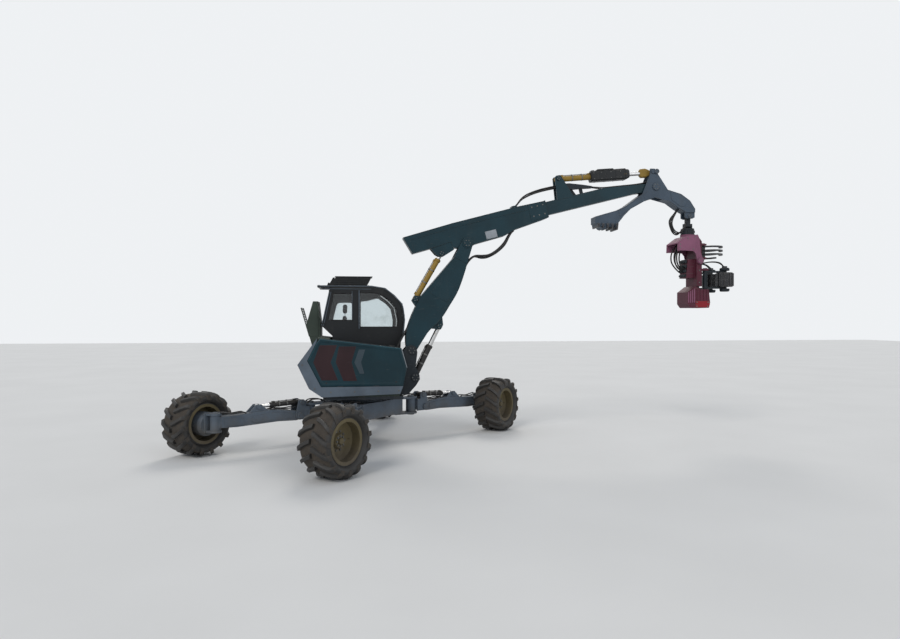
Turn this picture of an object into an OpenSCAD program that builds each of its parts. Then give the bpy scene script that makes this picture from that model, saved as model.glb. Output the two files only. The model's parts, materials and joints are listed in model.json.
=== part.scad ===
// Walking forestry excavator on four legs, with a harvester head on its telescopic stick.
// +X is the direction the boom points, +Y the machine's left side, +Z up.
// The chassis stands turned under the upper part. Lengths are in millimetres.

/* [Chassis and legs] */
// Turn of the chassis under the upper part, in degrees
chassis_yaw = 50; // [0:1:90]
// Distance from the slew axis to a swing pin, along the chassis
swing_x = 950; // [900:10:1050]
// Distance from the slew axis to a swing pin, across the chassis
swing_y = 550; // [520:10:600]
// Height of the chassis box's underside
chassis_z = 540; // [500:10:560]
// Height of the chassis box
chassis_h = 320; // [300:10:330]
// Thickness of the clevis plates at the chassis corners
clevis_t = 40; // [25:5:50]
// Radius of the swing pins
swing_pin_r = 60; // [45:5:70]
// Length of a leg, from its swing pin to its kingpin
leg_len = 1860; // [1700:10:2100]
// Splay of a leg from the chassis length, in degrees
leg_splay = 20; // [10:1:30]
// Width of the leg's box section
leg_w = 200; // [160:10:208]
// Bore of the leg lift cylinders, as a radius
lift_rod_r = 32; // [25:1:38]

/* [Wheels] */
// Radius over the tyre's lugs
tyre_r = 590; // [560:5:620]
// Width of a tyre
tyre_w = 600; // [500:10:640]
// Radius of the bead seat on the rim
rim_r = 335; // [300:5:350]
// Height of a tread lug
lug_h = 55; // [30:5:70]
// Lugs along each half of the tread
lug_count = 15; // [10:1:20]
// Distance from the kingpin to the inner side of the tyre
wheel_offset = 200; // [190:5:240]

/* [Upper part] */
// Outer width of the upper part
body_w = 2000; // [1900:10:2100]
// Height of the underside of the upper part's base plate
base_z = 960; // [960:5:980]
// Thickness of the side covers
cover_t = 45; // [20:5:60]
// Wall of the engine housing
housing_wall = 30; // [15:5:40]

/* [Cab] */
// Right side of the cab, towards the boom
cab_right = -150; // [-160:5:-100]
// Left side of the cab
cab_left = 930; // [850:10:950]
// Wall of the cab
cab_wall = 40; // [30:5:50]
// Thickness of the window panes
pane_t = 6; // [4:1:10]

/* [Boom and stick] */
// Side offset of the boom plane from the slew axis
boom_y = -420; // [-440:5:-410]
// Width of the boom
boom_w = 300; // [260:10:320]
// Slope of the boom at rest, in degrees
boom_angle = 62.5; // [50:0.5:70]
// Distance from the boom foot pin to the stick pin
boom_len = 2434; // [2300:10:2600]
// Radius of the boom and stick pins
main_pin_r = 55; // [40:5:60]
// Slope of the stick at rest, in degrees
stick_angle = 14.5; // [0:0.5:30]
// Width of the stick's box
stick_w = 220; // [216:2:226]
// Depth of the telescope's box
tele_h = 270; // [240:5:275]
// Width of the telescope's box
tele_w = 180; // [150:5:184]
// Distance from the stick pin to the telescope's far pin, at rest
reach = 4216; // [4000:10:4600]

/* [Harvester head] */
// Width of the head's frame
head_w = 460; // [400:10:480]
// Radius of a feed roller over its studs
roller_r = 190; // [160:5:200]
// Height of a feed roller
roller_h = 300; // [240:10:320]
// Number of studs round a feed roller
stud_count = 10; // [8:1:16]

/* [Hidden] */
$fn = 48;

// Play between a pin and its bore, on the radius
pin_play = 0.3;
// Gap between faces that slide or turn on each other
face_gap = 0.5;
// Side play between an eye and its clevis plates
side_play = 5;

// The whole model moves by this, so that its origin is under the middle of its box
origin_shift = [-2077, 0, 0];

// Corners of the chassis: fore or aft sign, left or right sign
REAR_LEFT = [-1, 1];
REAR_RIGHT = [-1, -1];
FRONT_LEFT = [1, 1];
FRONT_RIGHT = [1, -1];

// Leg frame: x runs outward along the leg from its swing pin
leg_pivot = [270, 640];
lift_base = [230, 890];
lift_lug = [1080, 860];
bracket_half = 115;
bracket_t = 35;
leg_pin_r = 45;
lift_pin_r = 35;
kingpin_r = 50;
kingpin_x = swing_x + leg_len * cos(leg_splay);
kingpin_y = swing_y + leg_len * sin(leg_splay);
knuckle_top = 765;
knuckle_bottom = 495;
wheel_z = tyre_r;
wheel_mid = wheel_offset + tyre_w / 2;
stub_r = 70;

// Machine frame, side view: x and z of the pins
boom_foot = [977, 1884];
boom_lift_foot = [1042, 1347];
boom_lift_lug = [690, 279];
stick_foot = [946, -402];
stick_lug = [-554, -76];
tele_v = 307;
bracket_pin = [reach, 206];
tool_foot = [2200, 850];
tool_ear = [14, 323];
stick_pin = out_of(boom_foot, boom_angle, [boom_len, 0]);
bracket_pin_at = out_of(stick_pin, stick_angle, bracket_pin);
// From the bracket's pin to the pin that the head hangs on
hang_offset = [774, -598];
hang = bracket_pin_at + hang_offset;

// Head frame: x from the rotator's axis, z from the hanging pin
cross_z = -200;
flange_z = -390;
tilt_pin = [155, -960];

module in_machine() { translate(origin_shift) children(); }

// Carries what is drawn in the chassis frame
module in_chassis() { in_machine() rotate([0, 0, chassis_yaw]) children(); }

// Carries what is drawn in the front left corner's frame to a corner
module at_corner(corner)
    in_chassis()
        mirror([corner[0] < 0 ? 1 : 0, 0, 0])
            mirror([0, corner[1] < 0 ? 1 : 0, 0])
                children();

// Carries what is drawn in the leg frame to a corner
module on_leg(corner)
    at_corner(corner) translate([swing_x, swing_y, 0]) rotate([0, 0, leg_splay]) children();

// A side-view outline, given as x and z points, between two y values
module slab(outline, y0, y1)
    rotate([90, 0, 0]) translate([0, 0, -y1]) linear_extrude(y1 - y0) polygon(outline);

// The same outline as two plates, one on each side of the middle plane
module plate_pair(outline, inner_half, t) {
    slab(outline, inner_half, inner_half + t);
    slab(outline, -inner_half - t, -inner_half);
}

// A round bar along y through a side-view point
module bar_y(at, r, y0, y1)
    translate([at[0], y1, at[1]]) rotate([90, 0, 0]) cylinder(r = r, h = y1 - y0);

// A round bar in the side view's plane, from a point along a slope
module bar_along(from, slope, start, end, r)
    translate([from[0], 0, from[1]]) rotate([0, 90 - slope, 0])
        translate([0, 0, start]) cylinder(r = r, h = end - start);

// A box centred on y, between side-view corners
module block(x0, x1, half_y, z0, z1)
    translate([x0, -half_y, z0]) cube([x1 - x0, 2 * half_y, z1 - z0]);

function length2(v) = sqrt(v[0] * v[0] + v[1] * v[1]);
function slope2(v) = atan2(v[1], v[0]);
// A point of a sloped frame, in the frame that carries it
function out_of(origin, slope, p) = [
    origin[0] + p[0] * cos(slope) - p[1] * sin(slope),
    origin[1] + p[0] * sin(slope) + p[1] * cos(slope)
];

module chassis() {
    ear_r = 130;
    body_outline = [
        [-860, -350], [-640, -560], [640, -560], [860, -350],
        [860, 350], [640, 560], [-640, 560], [-860, 350]
    ];
    ring_r = 470;
    // The box lies this much lower than the clevis plates' faces
    box_step = 4;
    // Tie-down eyes: plates on the box's ends, each with an upright bore
    eye_x = 900;
    eye_y = 190;
    eye_z = 665;
    eye_t = 50;
    eye_bore_r = 22;
    color("slategray") in_chassis() difference() {
        union() {
            translate([0, 0, chassis_z - box_step]) linear_extrude(chassis_h) polygon(body_outline);
            translate([0, 0, chassis_z + chassis_h - 10]) cylinder(r = ring_r, h = base_z - 40 - chassis_z - chassis_h + 10);
            for (sx = [-1, 1], sy = [-1, 1]) translate([sx * swing_x, sy * swing_y, 0]) {
                for (z = [chassis_z - clevis_t, chassis_z + chassis_h - clevis_t])
                    translate([0, 0, z]) rotate([0, 0, atan2(-sy * swing_y, -sx * swing_x)])
                        linear_extrude(clevis_t)
                            polygon(concat(arc([0, 0], ear_r, 90, 270, 14), [[420, -ear_r], [420, ear_r]]));
                translate([0, 0, chassis_z - clevis_t - 15])
                    cylinder(r = swing_pin_r, h = chassis_h + clevis_t + 30);
            }
            for (sx = [-1, 1], sy = [-1, 1])
                translate([sx * eye_x - 75, sy * eye_y - 60, eye_z - eye_t / 2]) cube([150, 120, eye_t]);
        }
        for (sx = [-1, 1], sy = [-1, 1])
            translate([sx * (eye_x + 18), sy * eye_y, eye_z - eye_t]) cylinder(r = eye_bore_r, h = 2 * eye_t);
    }
}

module swing_bracket(corner) {
    plate = [
        [70, 560], [300, 560], [350, 600], [350, 690], [300, 930], [255, 945],
        [200, 945], [150, 900], [150, 815], [70, 800]
    ];
    color("lightsteelblue") on_leg(corner) difference() {
        union() {
            translate([0, 0, chassis_z + face_gap])
                cylinder(r = 105, h = chassis_h - clevis_t - 2 * face_gap);
            block(60, 165, bracket_half + 1, 580, 800);
            plate_pair(plate, bracket_half, bracket_t);
            bar_y(leg_pivot, leg_pin_r, -bracket_half - bracket_t - 15, bracket_half + bracket_t + 15);
            bar_y(lift_base, lift_pin_r, -bracket_half - bracket_t - 10, bracket_half + bracket_t + 10);
        }
        translate([0, 0, chassis_z - 20]) cylinder(r = swing_pin_r + pin_play, h = chassis_h + 40);
    }
}

module leg(corner) {
    box_half = leg_w / 2;
    side = [
        [270, 560], [330, 545], [700, 560], [1500, 530], [1790, 540], [1790, 745],
        [1500, 745], [1150, 775], [800, 790], [430, 745], [270, 720]
    ];
    lug = [[880, 770], [1030, 905], [1130, 905], [1290, 745], [1290, 700], [880, 700]];
    lug_half = 60;
    color("lightsteelblue") on_leg(corner) difference() {
        union() {
            bar_y(leg_pivot, 85, -bracket_half + side_play, bracket_half - side_play);
            slab(side, -box_half, box_half);
            plate_pair(lug, lug_half, 25);
            bar_y(lift_lug, 30, lug_half + 20, lug_half + 45);
            bar_y(lift_lug, 30, -lug_half - 45, -lug_half - 20);
            translate([leg_len, 0, knuckle_bottom + face_gap])
                cylinder(r = 95, h = knuckle_top - knuckle_bottom - 2 * face_gap);
            block(1780, leg_len, 90, 545, 740);
        }
        bar_y(leg_pivot, leg_pin_r + pin_play, -200, 200);
        translate([leg_len, 0, 400]) cylinder(r = kingpin_r + pin_play, h = 500);
    }
}

lift_line = lift_lug - lift_base;
lift_len = length2(lift_line);
lift_slope = slope2(lift_line);

// A cylinder tube with its eye at the start of the line and a gland at its mouth
module barrel(from, slope, tube_len, tube_r, bore_r, eye_r, eye_half, pin_r) {
    difference() {
        union() {
            bar_y(from, eye_r, -eye_half, eye_half);
            bar_along(from, slope, 0, tube_len, tube_r);
            bar_along(from, slope, tube_len - 50, tube_len, tube_r + 8);
        }
        bar_y(from, pin_r + pin_play, -eye_half - 10, eye_half + 10);
        bar_along(from, slope, eye_r + 30, tube_len + 10, bore_r + pin_play);
    }
}

// A piston rod that ends in an eye
module rod(from, slope, start, eye_at, r, eye_r, eye_half, pin_r) {
    eye = out_of(from, slope, [eye_at, 0]);
    difference() {
        union() {
            bar_along(from, slope, start, eye_at - eye_r / 2, r);
            bar_y(eye, eye_r, -eye_half, eye_half);
        }
        bar_y(eye, pin_r, -eye_half - 10, eye_half + 10);
    }
}

module lift_barrel(corner)
    color("dimgray") on_leg(corner)
        barrel(lift_base, lift_slope, 600, lift_rod_r + 15, lift_rod_r, 50, 55, lift_pin_r);

module lift_rod(corner)
    color("silver") on_leg(corner)
        rod(lift_base, lift_slope, 400, lift_len, lift_rod_r, 45, 55, 25);

// Carries what is drawn about the kingpin, with y outward to the wheel
module at_kingpin(corner)
    at_corner(corner) translate([kingpin_x, kingpin_y, 0]) children();

// A ring or drum on the wheel's axle, from a half outline of y and radius points
module about_axle(outline)
    translate([0, 0, wheel_z]) rotate([-90, 0, 0]) rotate_extrude($fn = 64)
        polygon([for (p = outline) [p[1], p[0]]]);

module knuckle(corner) {
    plate_t = 40;
    web_y = 115;
    color("lightsteelblue") at_kingpin(corner) union() {
        for (z = [knuckle_bottom - plate_t, knuckle_top])
            translate([0, 0, z]) {
                cylinder(r = 110, h = plate_t);
                translate([-110, 0, 0]) cube([220, web_y + 20, plate_t]);
            }
        translate([0, 0, knuckle_bottom - plate_t - 10])
            cylinder(r = kingpin_r, h = knuckle_top - knuckle_bottom + 2 * plate_t + 20);
        translate([-130, web_y, knuckle_bottom - plate_t])
            cube([260, 45, knuckle_top - knuckle_bottom + 2 * plate_t]);
        about_axle([[web_y + 44, 0], [web_y + 44, 190], [wheel_offset + 30, 220],
            [wheel_mid + 10, 220], [wheel_mid + 10, stub_r], [wheel_mid + 60, stub_r], [wheel_mid + 60, 0]]);
    }
}

module rim(corner) {
    disc = wheel_mid + 20;
    seat_r = rim_r - face_gap;
    well = seat_r - 22;
    color("saddlebrown") at_kingpin(corner)
        about_axle([
            [wheel_mid - 0.4 * tyre_w, well], [disc, well], [disc, stub_r + pin_play],
            [disc + 45, stub_r + pin_play], [disc + 45, 0], [disc + 80, 0], [disc + 80, 105],
            [disc + 30, 130], [disc + 30, well - 40], [disc + 60, well],
            [wheel_mid + 0.4 * tyre_w, well], [wheel_mid + 0.4 * tyre_w, seat_r + 34],
            [wheel_mid + 0.37 * tyre_w, seat_r + 34], [wheel_mid + 0.37 * tyre_w, seat_r],
            [wheel_mid - 0.37 * tyre_w, seat_r], [wheel_mid - 0.37 * tyre_w, seat_r + 34],
            [wheel_mid - 0.4 * tyre_w, seat_r + 34]
        ]);
}

module tyre(corner) {
    half = tyre_w / 2;
    carcass_r = tyre_r - lug_h;
    bead = 0.37 * tyre_w - face_gap;
    profile = [
        [-bead, rim_r], [-bead, rim_r + 40], [-half, rim_r + 95], [-half, carcass_r - 80],
        [-half + 60, carcass_r], [half - 60, carcass_r], [half, carcass_r - 80],
        [half, rim_r + 95], [bead, rim_r + 40], [bead, rim_r]
    ];
    lug_w = 70;
    lug_lead = 60;
    // Half of a tread bar, across the tyre and round it
    lug_outline = [
        [12, -lug_lead - lug_w / 2], [half - 6, lug_lead - lug_w / 2],
        [half - 6, lug_lead + lug_w / 2], [12, -lug_lead + lug_w / 2]
    ];
    pitch = 360 / lug_count;
    // The bar's flat top keeps its far corner on the tyre's outer radius
    lug_top = sqrt(pow(tyre_r, 2) - pow(lug_lead + lug_w / 2, 2));
    lug_foot = carcass_r - 45;
    color("#2b2723") at_kingpin(corner) union() {
        about_axle([for (p = profile) [p[0] + wheel_mid, p[1]]]);
        for (side = [0, 1], i = [0:lug_count - 1])
            translate([0, wheel_mid, wheel_z]) rotate([0, (i + side / 2) * pitch, 0])
                mirror([0, side, 0]) translate([0, 0, lug_foot])
                    linear_extrude(lug_top - lug_foot) polygon([for (p = lug_outline) [p[1], p[0]]]);
    }
}

body_half = body_w / 2;
inner_half = body_half - cover_t;
base_top = base_z + 60;
// Side view of the upper part's covers
nose = [-1221, 1642];
cover_outline = [
    [-781, 1216], [776, 1216], [847, 1565], [738, 1951], [-800, 2142], [-870, 2062], [-1040, 1716]
];
strip_outline = [
    nose, [-1005, 1187], [-764, base_top], [718, 1065], [776, 1216], [-781, 1216],
    [-1040, 1716], [-870, 2062], [-851, 2150]
];
// Line on which the tail bumper meets the housing
tail_line = [[-700, base_top], [-760, 1060], [-965, 1220], [-1165, 1640], [-1100, 1740], [-1130, 1767]];

module upper_frame() {
    ear = [
        [420, base_top - 10], [900, base_top - 10], [1060, 1190], [1135, 1310], [1125, 1400],
        [1050, 1560], [1085, 1840], [1065, 1945], [977, 1990], [880, 1960], [700, 1760], [420, 1500]
    ];
    color("#39474f") in_machine() difference() {
        union() {
            translate([0, 0, base_z - 40 + face_gap]) cylinder(r = 500, h = 50);
            translate([-745, -inner_half, base_z]) cube([1525, 2 * inner_half, base_top - base_z]);
            translate([0, boom_y, 0]) {
                plate_pair(ear, boom_w / 2 + side_play, 40);
                bar_y(boom_foot, main_pin_r, -boom_w / 2 - 60, boom_w / 2 + 60);
                bar_y(boom_lift_foot, main_pin_r, -boom_w / 2 - 60, boom_w / 2 + 60);
                block(430, 560, boom_w / 2 + 10, base_top - 10, 1450);
            }
            for (y = [cab_right + 30, min(cab_left - 60, inner_half - 85) - cab_beam_w])
                translate([-560, y, base_top - 5]) cube([1250, cab_beam_w, cab_beam_h + 5]);
        }
        translate([0, 0, base_z - 60]) cylinder(r = 330, h = 95);
    }
}

module housing() {
    outer = concat(
        [[-640, base_top]], tail_line, [[-851, 2150], [-640, 2124]]
    );
    inner = [
        [-600, base_top + housing_wall], [-690, base_top + housing_wall], [-735, base_top + 80], [-925, 1240], [-1125, 1640], [-1065, 1745],
        [-1085, 1767], [-835, 2110], [-600, 2081]
    ];
    tank = [[-640, base_top], [705, base_top], [760, 1216], [800, 1565], [705, 1945], [-640, 2112]];
    hood = [[-1010, 1931], [-1139, 2380], [-1000, 2873], [-905, 2873], [-850, 2400], [-851, 2150]];
    color("#5b6a55") in_machine() union() {
        difference() {
            slab(outer, -inner_half, inner_half);
            slab(inner, -inner_half + housing_wall, inner_half - housing_wall);
        }
        slab(tank, -inner_half, boom_y - boom_w / 2 - 75);
        slab(hood, 60, 900);
    }
}

module engine_block()
    color("dimgray") in_machine() union() {
        translate([-960, -420, 1310]) cube([330, 900, 610]);
        for (y = [-400, 340])
            translate([-688, y, base_top + housing_wall + face_gap / 2]) cube([58, 120, 300]);
    }

module side_covers()
    color("#1f3f44") in_machine() {
        slab(cover_outline, -body_half, -inner_half);
        slab([[-781, 1216], [-560, 1216], [-560, 2112], [-800, 2142], [-870, 2062], [-1040, 1716]],
            inner_half, body_half);
    }

module tail_bumper() {
    tail = concat([nose, [-1005, 1187], [-764, base_top]], tail_line);
    color("#7d8b96") in_machine() union() {
        slab(strip_outline, -body_half, -inner_half);
        slab(strip_outline, inner_half, body_half);
        slab(tail, -body_half, body_half);
    }
}

// The cab stands on two beams of the base
cab_beam_w = 120;
cab_beam_h = 200;
cab_floor = base_top + cab_beam_h + face_gap / 2;
// Side view of the cab, outside and inside
cab_outline = [
    [-590, cab_floor], [-600, 2165], [-812, 2369], [-650, 3105], [-560, 3150], [200, 3150],
    [440, 3100], [623, 2962], [773, 2798], [825, 2500], [793, 2161], [740, cab_floor]
];
cab_inside = [
    [-548, 1265], [-558, 2180], [-765, 2385], [-612, 3070], [-545, 3108], [190, 3108],
    [418, 3062], [594, 2930], [733, 2778], [784, 2500], [752, 2168], [700, 1265]
];
front_window = [
    [-85, 2340], [725, 2340], [740, 2500], [695, 2755], [570, 2895], [400, 3020], [190, 3060], [-85, 3060]
];
rear_window = [[-700, 2480], [-190, 2480], [-190, 3040], [-590, 3040]];
door_opening = [
    [-120, 1330], [680, 1330], [740, 2168], [760, 2500], [705, 2760], [575, 2905], [400, 3032], [190, 3070], [-120, 3070]
];
door_outline = [
    [-112, 1338], [672, 1338], [732, 2168], [752, 2500], [698, 2757], [570, 2897], [397, 3024], [188, 3062], [-112, 3062]
];
door_hinge = [-132, cab_left + 22];
hinge_heights = [1560, 2750];

module cab_shell() {
    color("#24292c") in_machine() difference() {
        union() {
            difference() {
                slab(cab_outline, cab_right, cab_left);
                slab(cab_inside, cab_right + cab_wall, cab_left - cab_wall);
                slab(front_window, cab_right - 10, cab_right + cab_wall + 10);
                slab(rear_window, cab_right - 10, cab_right + cab_wall + 10);
                slab(rear_window, cab_left - cab_wall - 10, cab_left + 10);
                slab(door_opening, cab_left - cab_wall - 10, cab_left + 10);
                slab([[650, 2330], [900, 2330], [900, 2700], [560, 3030], [480, 2940]],
                    cab_right + 80, cab_left - 80);
                slab([[-900, 2480], [-700, 2480], [-560, 3030], [-800, 3030]],
                    cab_right + 120, cab_left - 120);
            }
            for (z = hinge_heights, dz = [-55, 55])
                translate([door_hinge[0], door_hinge[1], z + dz - 20]) {
                    cylinder(r = 16, h = 40);
                    translate([-60, -24, 0]) cube([60, 16, 40]);
                }
            slab([[-600, 3145], [60, 3145], [60, 3191], [-600, 3191]], 180, 260);
            slab([[-600, 3145], [60, 3145], [60, 3191], [-600, 3191]], 560, 640);
        }
        for (z = hinge_heights) translate([door_hinge[0], door_hinge[1], z - 90])
            cylinder(r = 8 + pin_play, h = 180);
    }
}

module cab_glass() {
    side_in = cab_right + cab_wall;
    side_out = cab_left - cab_wall;
    side_pane = [
        [-738, 2440], [-606, 3040], [-545, 3080], [188, 3085], [402, 3040], [574, 2915],
        [712, 2770], [762, 2500], [742, 2310], [-140, 2310], [-140, 2440]
    ];
    color("#9fb6bd") in_machine() {
        slab(side_pane, side_in, side_in + pane_t);
        slab([[-738, 2440], [-606, 3060], [-150, 3060], [-150, 2440]], side_out - pane_t, side_out);
        slab([[765.4, 2310], [783.7, 2500], [732.7, 2777.8], [593.8, 2929.8], [461.8, 3028.8], [458, 3024],
            [589, 2925.5], [727, 2775], [777.5, 2500], [759.4, 2310]], side_in + pane_t + 0.3, side_out - pane_t - 0.3);
        slab([[-749, 2445], [-616, 3040], [-610, 3039], [-743, 2444]], side_in + pane_t + 0.3,
            side_out - pane_t - 0.3);
    }
}

module cab_guard() {
    band = [
        [-902, 3150.3], [200, 3150.3], [445, 3104], [628, 2967], [779, 2802], [831, 2500], [800, 2150],
        [842, 2150], [874, 2500], [820, 2825], [656, 3003], [466, 3148], [188, 3192], [-902, 3192]
    ];
    box_outline = [[-643, 3191.3], [90, 3191.3], [195, 3390], [-543, 3390]];
    color("#2a2f33") in_machine() union() {
        for (y = [cab_right, 110, cab_left - 40]) slab(band, y, y + 40);
        for (x = [-890, 100]) translate([x, cab_right, 3150.3]) cube([45, cab_left - cab_right, 41]);
        slab([[820, 2560], [866, 2560], [866, 2600], [820, 2600]], cab_right, cab_left);
        slab([[806, 2170], [840, 2170], [842, 2210], [806, 2210]], cab_right, cab_left);
        slab(box_outline, 160, 660);
    }
}

module seat()
    color("#1b1b1d") in_machine() translate([0, 390, 0]) {
        block(-330, 60, 200, 1265.3, 1560);
        translate([-350, -250, 1560.3]) cube([520, 500, 130]);
        slab([[-350, 1690.6], [-230, 1690.6], [-330, 2380], [-430, 2380]], -240, 240);
        slab([[-445, 2400], [-345, 2400], [-362, 2620], [-455, 2620]], -120, 120);
        slab([[-430, 2380.3], [-340, 2380.3], [-346, 2399.7], [-436, 2399.7]], -70, 70);
        for (s = [-1, 1]) translate([-250, s * 340 - 60, 1265.3]) cube([480, 120, 640]);
    }

module cab_door() {
    window = [[-40, 2060], [665, 2060], [690, 2480], [640, 2735], [530, 2855], [370, 2965], [180, 3000], [-40, 3000]];
    low_window = [[-30, 1480], [610, 1480], [645, 1940], [-30, 1940]];
    color("#24292c") in_machine() difference() {
        union() {
            slab(door_outline, cab_left - cab_wall, cab_left);
            for (z = hinge_heights) translate([door_hinge[0], door_hinge[1], z - 34]) {
                cylinder(r = 16, h = 68);
                translate([0, -21, 0]) cube([110, 16, 68]);
                translate([22, -23, 0]) cube([88, 4, 68]);
                translate([0, 0, -55]) cylinder(r = 8, h = 178);
            }
        }
        slab(window, cab_left - cab_wall - 10, cab_left + 10);
        slab(low_window, cab_left - cab_wall - 10, cab_left + 10);
    }
}

module door_glass() {
    pane = [[-70, 1450], [640, 1450], [700, 2060], [720, 2490], [665, 2752], [545, 2880], [380, 2995], [184, 3030], [-70, 3030]];
    color("#9fb6bd") in_machine() slab(pane, cab_left - cab_wall - pane_t, cab_left - cab_wall);
}

// Carries what is drawn along the boom, with x from its foot pin to the stick pin
module on_boom()
    in_machine() translate([boom_foot[0], boom_y, boom_foot[1]]) rotate([0, -boom_angle, 0]) mirror([0, 0, 1])
        children();

module boom() {
    shell = [
        [-60, -80], [110, -190], [300, -270], [640, -322], [1000, -335], [1110, -320], [1520, -226], [2140, -85],
        [2330, -40], [2330, 60], [2110, 178], [1540, 275], [1150, 262], [820, 228], [470, 120], [60, 85], [-60, 60]
    ];
    fork = [
        [2060, -110], [boom_len - 40, -112], [boom_len + 60, -100], [boom_len + 112, -20],
        [boom_len + 95, 70], [boom_len, 118], [2060, 190]
    ];
    lug = [[560, 120], [640, 330], [740, 330], [900, 220]];
    back_lug = [[800, -290], [890, -455], [1002, -455], [1060, -290]];
    half = boom_w / 2;
    color("#1f3f44") on_boom() difference() {
        union() {
            slab(shell, -half, half);
            plate_pair(fork, stick_w / 2 + side_play, 42);
            bar_y([0, 0], 95, -half, half);
            plate_pair(lug, 70, 40);
            plate_pair(back_lug, 70, 35);
            bar_y([boom_len, 0], main_pin_r, -stick_w / 2 - 60, stick_w / 2 + 60);
            bar_y(boom_lift_lug, 40, 105, 130);
            bar_y(boom_lift_lug, 40, -130, -105);
            bar_y(stick_foot, 40, -120, 120);
        }
        bar_y([0, 0], main_pin_r + pin_play, -half - 50, half + 50);
        bar_y([boom_len, 0], 185, -stick_w / 2 - side_play, stick_w / 2 + side_play);
        slab([[600, 205], [860, 205], [860, 400], [600, 400]], -70, 70);
    }
    color("#1f3f44") on_boom() bar_y([boom_len, 0], main_pin_r, -stick_w / 2 - 20, stick_w / 2 + 20);
}

boom_lug_at = out_of(boom_foot, boom_angle, [boom_lift_lug[0], -boom_lift_lug[1]]);
boom_lift_line = boom_lug_at - boom_lift_foot;
boom_lift_len = length2(boom_lift_line);

module boom_lift_barrel()
    color("#2e2b29") in_machine() translate([0, boom_y, 0])
        barrel(boom_lift_foot, slope2(boom_lift_line), 700, 60, 45, 85, 120, main_pin_r);

module boom_lift_rod()
    color("silver") in_machine() translate([0, boom_y, 0])
        rod(boom_lift_foot, slope2(boom_lift_line), boom_lift_len - 700, boom_lift_len, 45, 62, 62, 35);

stick_foot_at = out_of(boom_foot, boom_angle, [stick_foot[0], -stick_foot[1]]);
stick_lug_at = out_of(stick_pin, stick_angle, stick_lug);
stick_line = stick_lug_at - stick_foot_at;
stick_line_len = length2(stick_line);
// Rod between the cylinder's mouth and the eye's middle, and the rod's inner end from the foot pin
stick_rod_shown = 127;
stick_rod_start = 147;

module stick_barrel()
    color("#b8963a") in_machine() translate([0, boom_y, 0])
        barrel(stick_foot_at, slope2(stick_line), stick_line_len - stick_rod_shown, 54, 38, 55, 62, 40);

module stick_rod()
    color("silver") in_machine() translate([0, boom_y, 0])
        rod(stick_foot_at, slope2(stick_line), stick_rod_start, stick_line_len, 38, 50, 60, 32);

// Carries what is drawn along the stick, with x from its pin and z up
module on_stick()
    in_machine() translate([stick_pin[0], boom_y, stick_pin[1]]) rotate([0, -stick_angle, 0]) children();

tele_low = tele_v - tele_h / 2;
tele_high = tele_v + tele_h / 2;
stick_front = 1800;

module stick() {
    outline = [
        [-1235, 415], [-1127, 60], [-696, 75], [-300, 110], [-300, -20], [-130, -60], [-60, -112], [30, -105], [167, -49], [806, -30],
        [1021, 40], [1738, 112], [stick_front, 120], [stick_front, tele_high + 22], [1211, tele_high + 38],
        [614, tele_high + 30], [-190, tele_high + 20]
    ];
    lug = [[-760, 100], [-680, -60], [-600, -135], [-520, -135], [-290, -60], [-290, 130], [-760, 130]];
    half = stick_w / 2;
    color("#1f3f44") on_stick() difference() {
        union() {
            slab(outline, -half, half);
            plate_pair(lug, 68, 35);
            bar_y(stick_lug, 38, 98, 118);
            bar_y(stick_lug, 38, -118, -98);
        }
        bar_y([0, 0], main_pin_r + pin_play, -half - 50, half + 50);
        slab([[-1150, tele_low - 8], [stick_front - 120, tele_low - 8], [stick_front - 120, tele_low - face_gap],
            [stick_front + 10, tele_low - face_gap], [stick_front + 10, tele_high + face_gap],
            [stick_front - 120, tele_high + face_gap], [stick_front - 120, tele_high + 8], [-1150, tele_high + 8]],
            -tele_w / 2 - face_gap, tele_w / 2 + face_gap);
    }
}

module telescope() {
    inner_end = -460;
    outline = [
        [inner_end, tele_low], [reach - 420, tele_low], [reach - 30, 118], [reach + 60, 135], [reach + 88, 206],
        [reach + 60, 270], [reach - 30, 298], [reach - 1116, tele_high], [inner_end, tele_high]
    ];
    lug = [[2065, 420], [2135, 890], [2165, 915], [2240, 915], [2270, 890], [2430, 420]];
    color("#24474b") on_stick() difference() {
        union() {
            slab(outline, -tele_w / 2, tele_w / 2);
            plate_pair(lug, 66, 28);
            bar_y(tool_foot, 30, -105, 105);
        }
        bar_y(bracket_pin, main_pin_r - 5 + pin_play, -150, 150);
    }
}

tool_foot_at = out_of(stick_pin, stick_angle, tool_foot);
tool_ear_at = out_of(bracket_pin_at, stick_angle, tool_ear);
tool_line = tool_ear_at - tool_foot_at;
tool_line_len = length2(tool_line);

module tool_barrel() {
    tube_r = 58;
    guard_r = 105;
    slope = slope2(tool_line);
    color("#b8963a") in_machine() translate([0, boom_y, 0]) union() {
        barrel(tool_foot_at, slope, 1560, tube_r, 40, 58, 50, 30);
        difference() {
            bar_along(tool_foot_at, slope, 720, 1480, guard_r);
            bar_along(tool_foot_at, slope, 700, 1500, tube_r - 1);
        }
    }
}

module tool_rod()
    color("silver") in_machine() translate([0, boom_y, 0])
        rod(tool_foot_at, slope2(tool_line), tool_line_len - 900, tool_line_len, 40, 55, 48, 28);

// Carries what is drawn about the tool bracket's pin, level with the machine
module on_bracket()
    in_machine() translate([bracket_pin_at[0], boom_y, bracket_pin_at[1]]) children();

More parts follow.
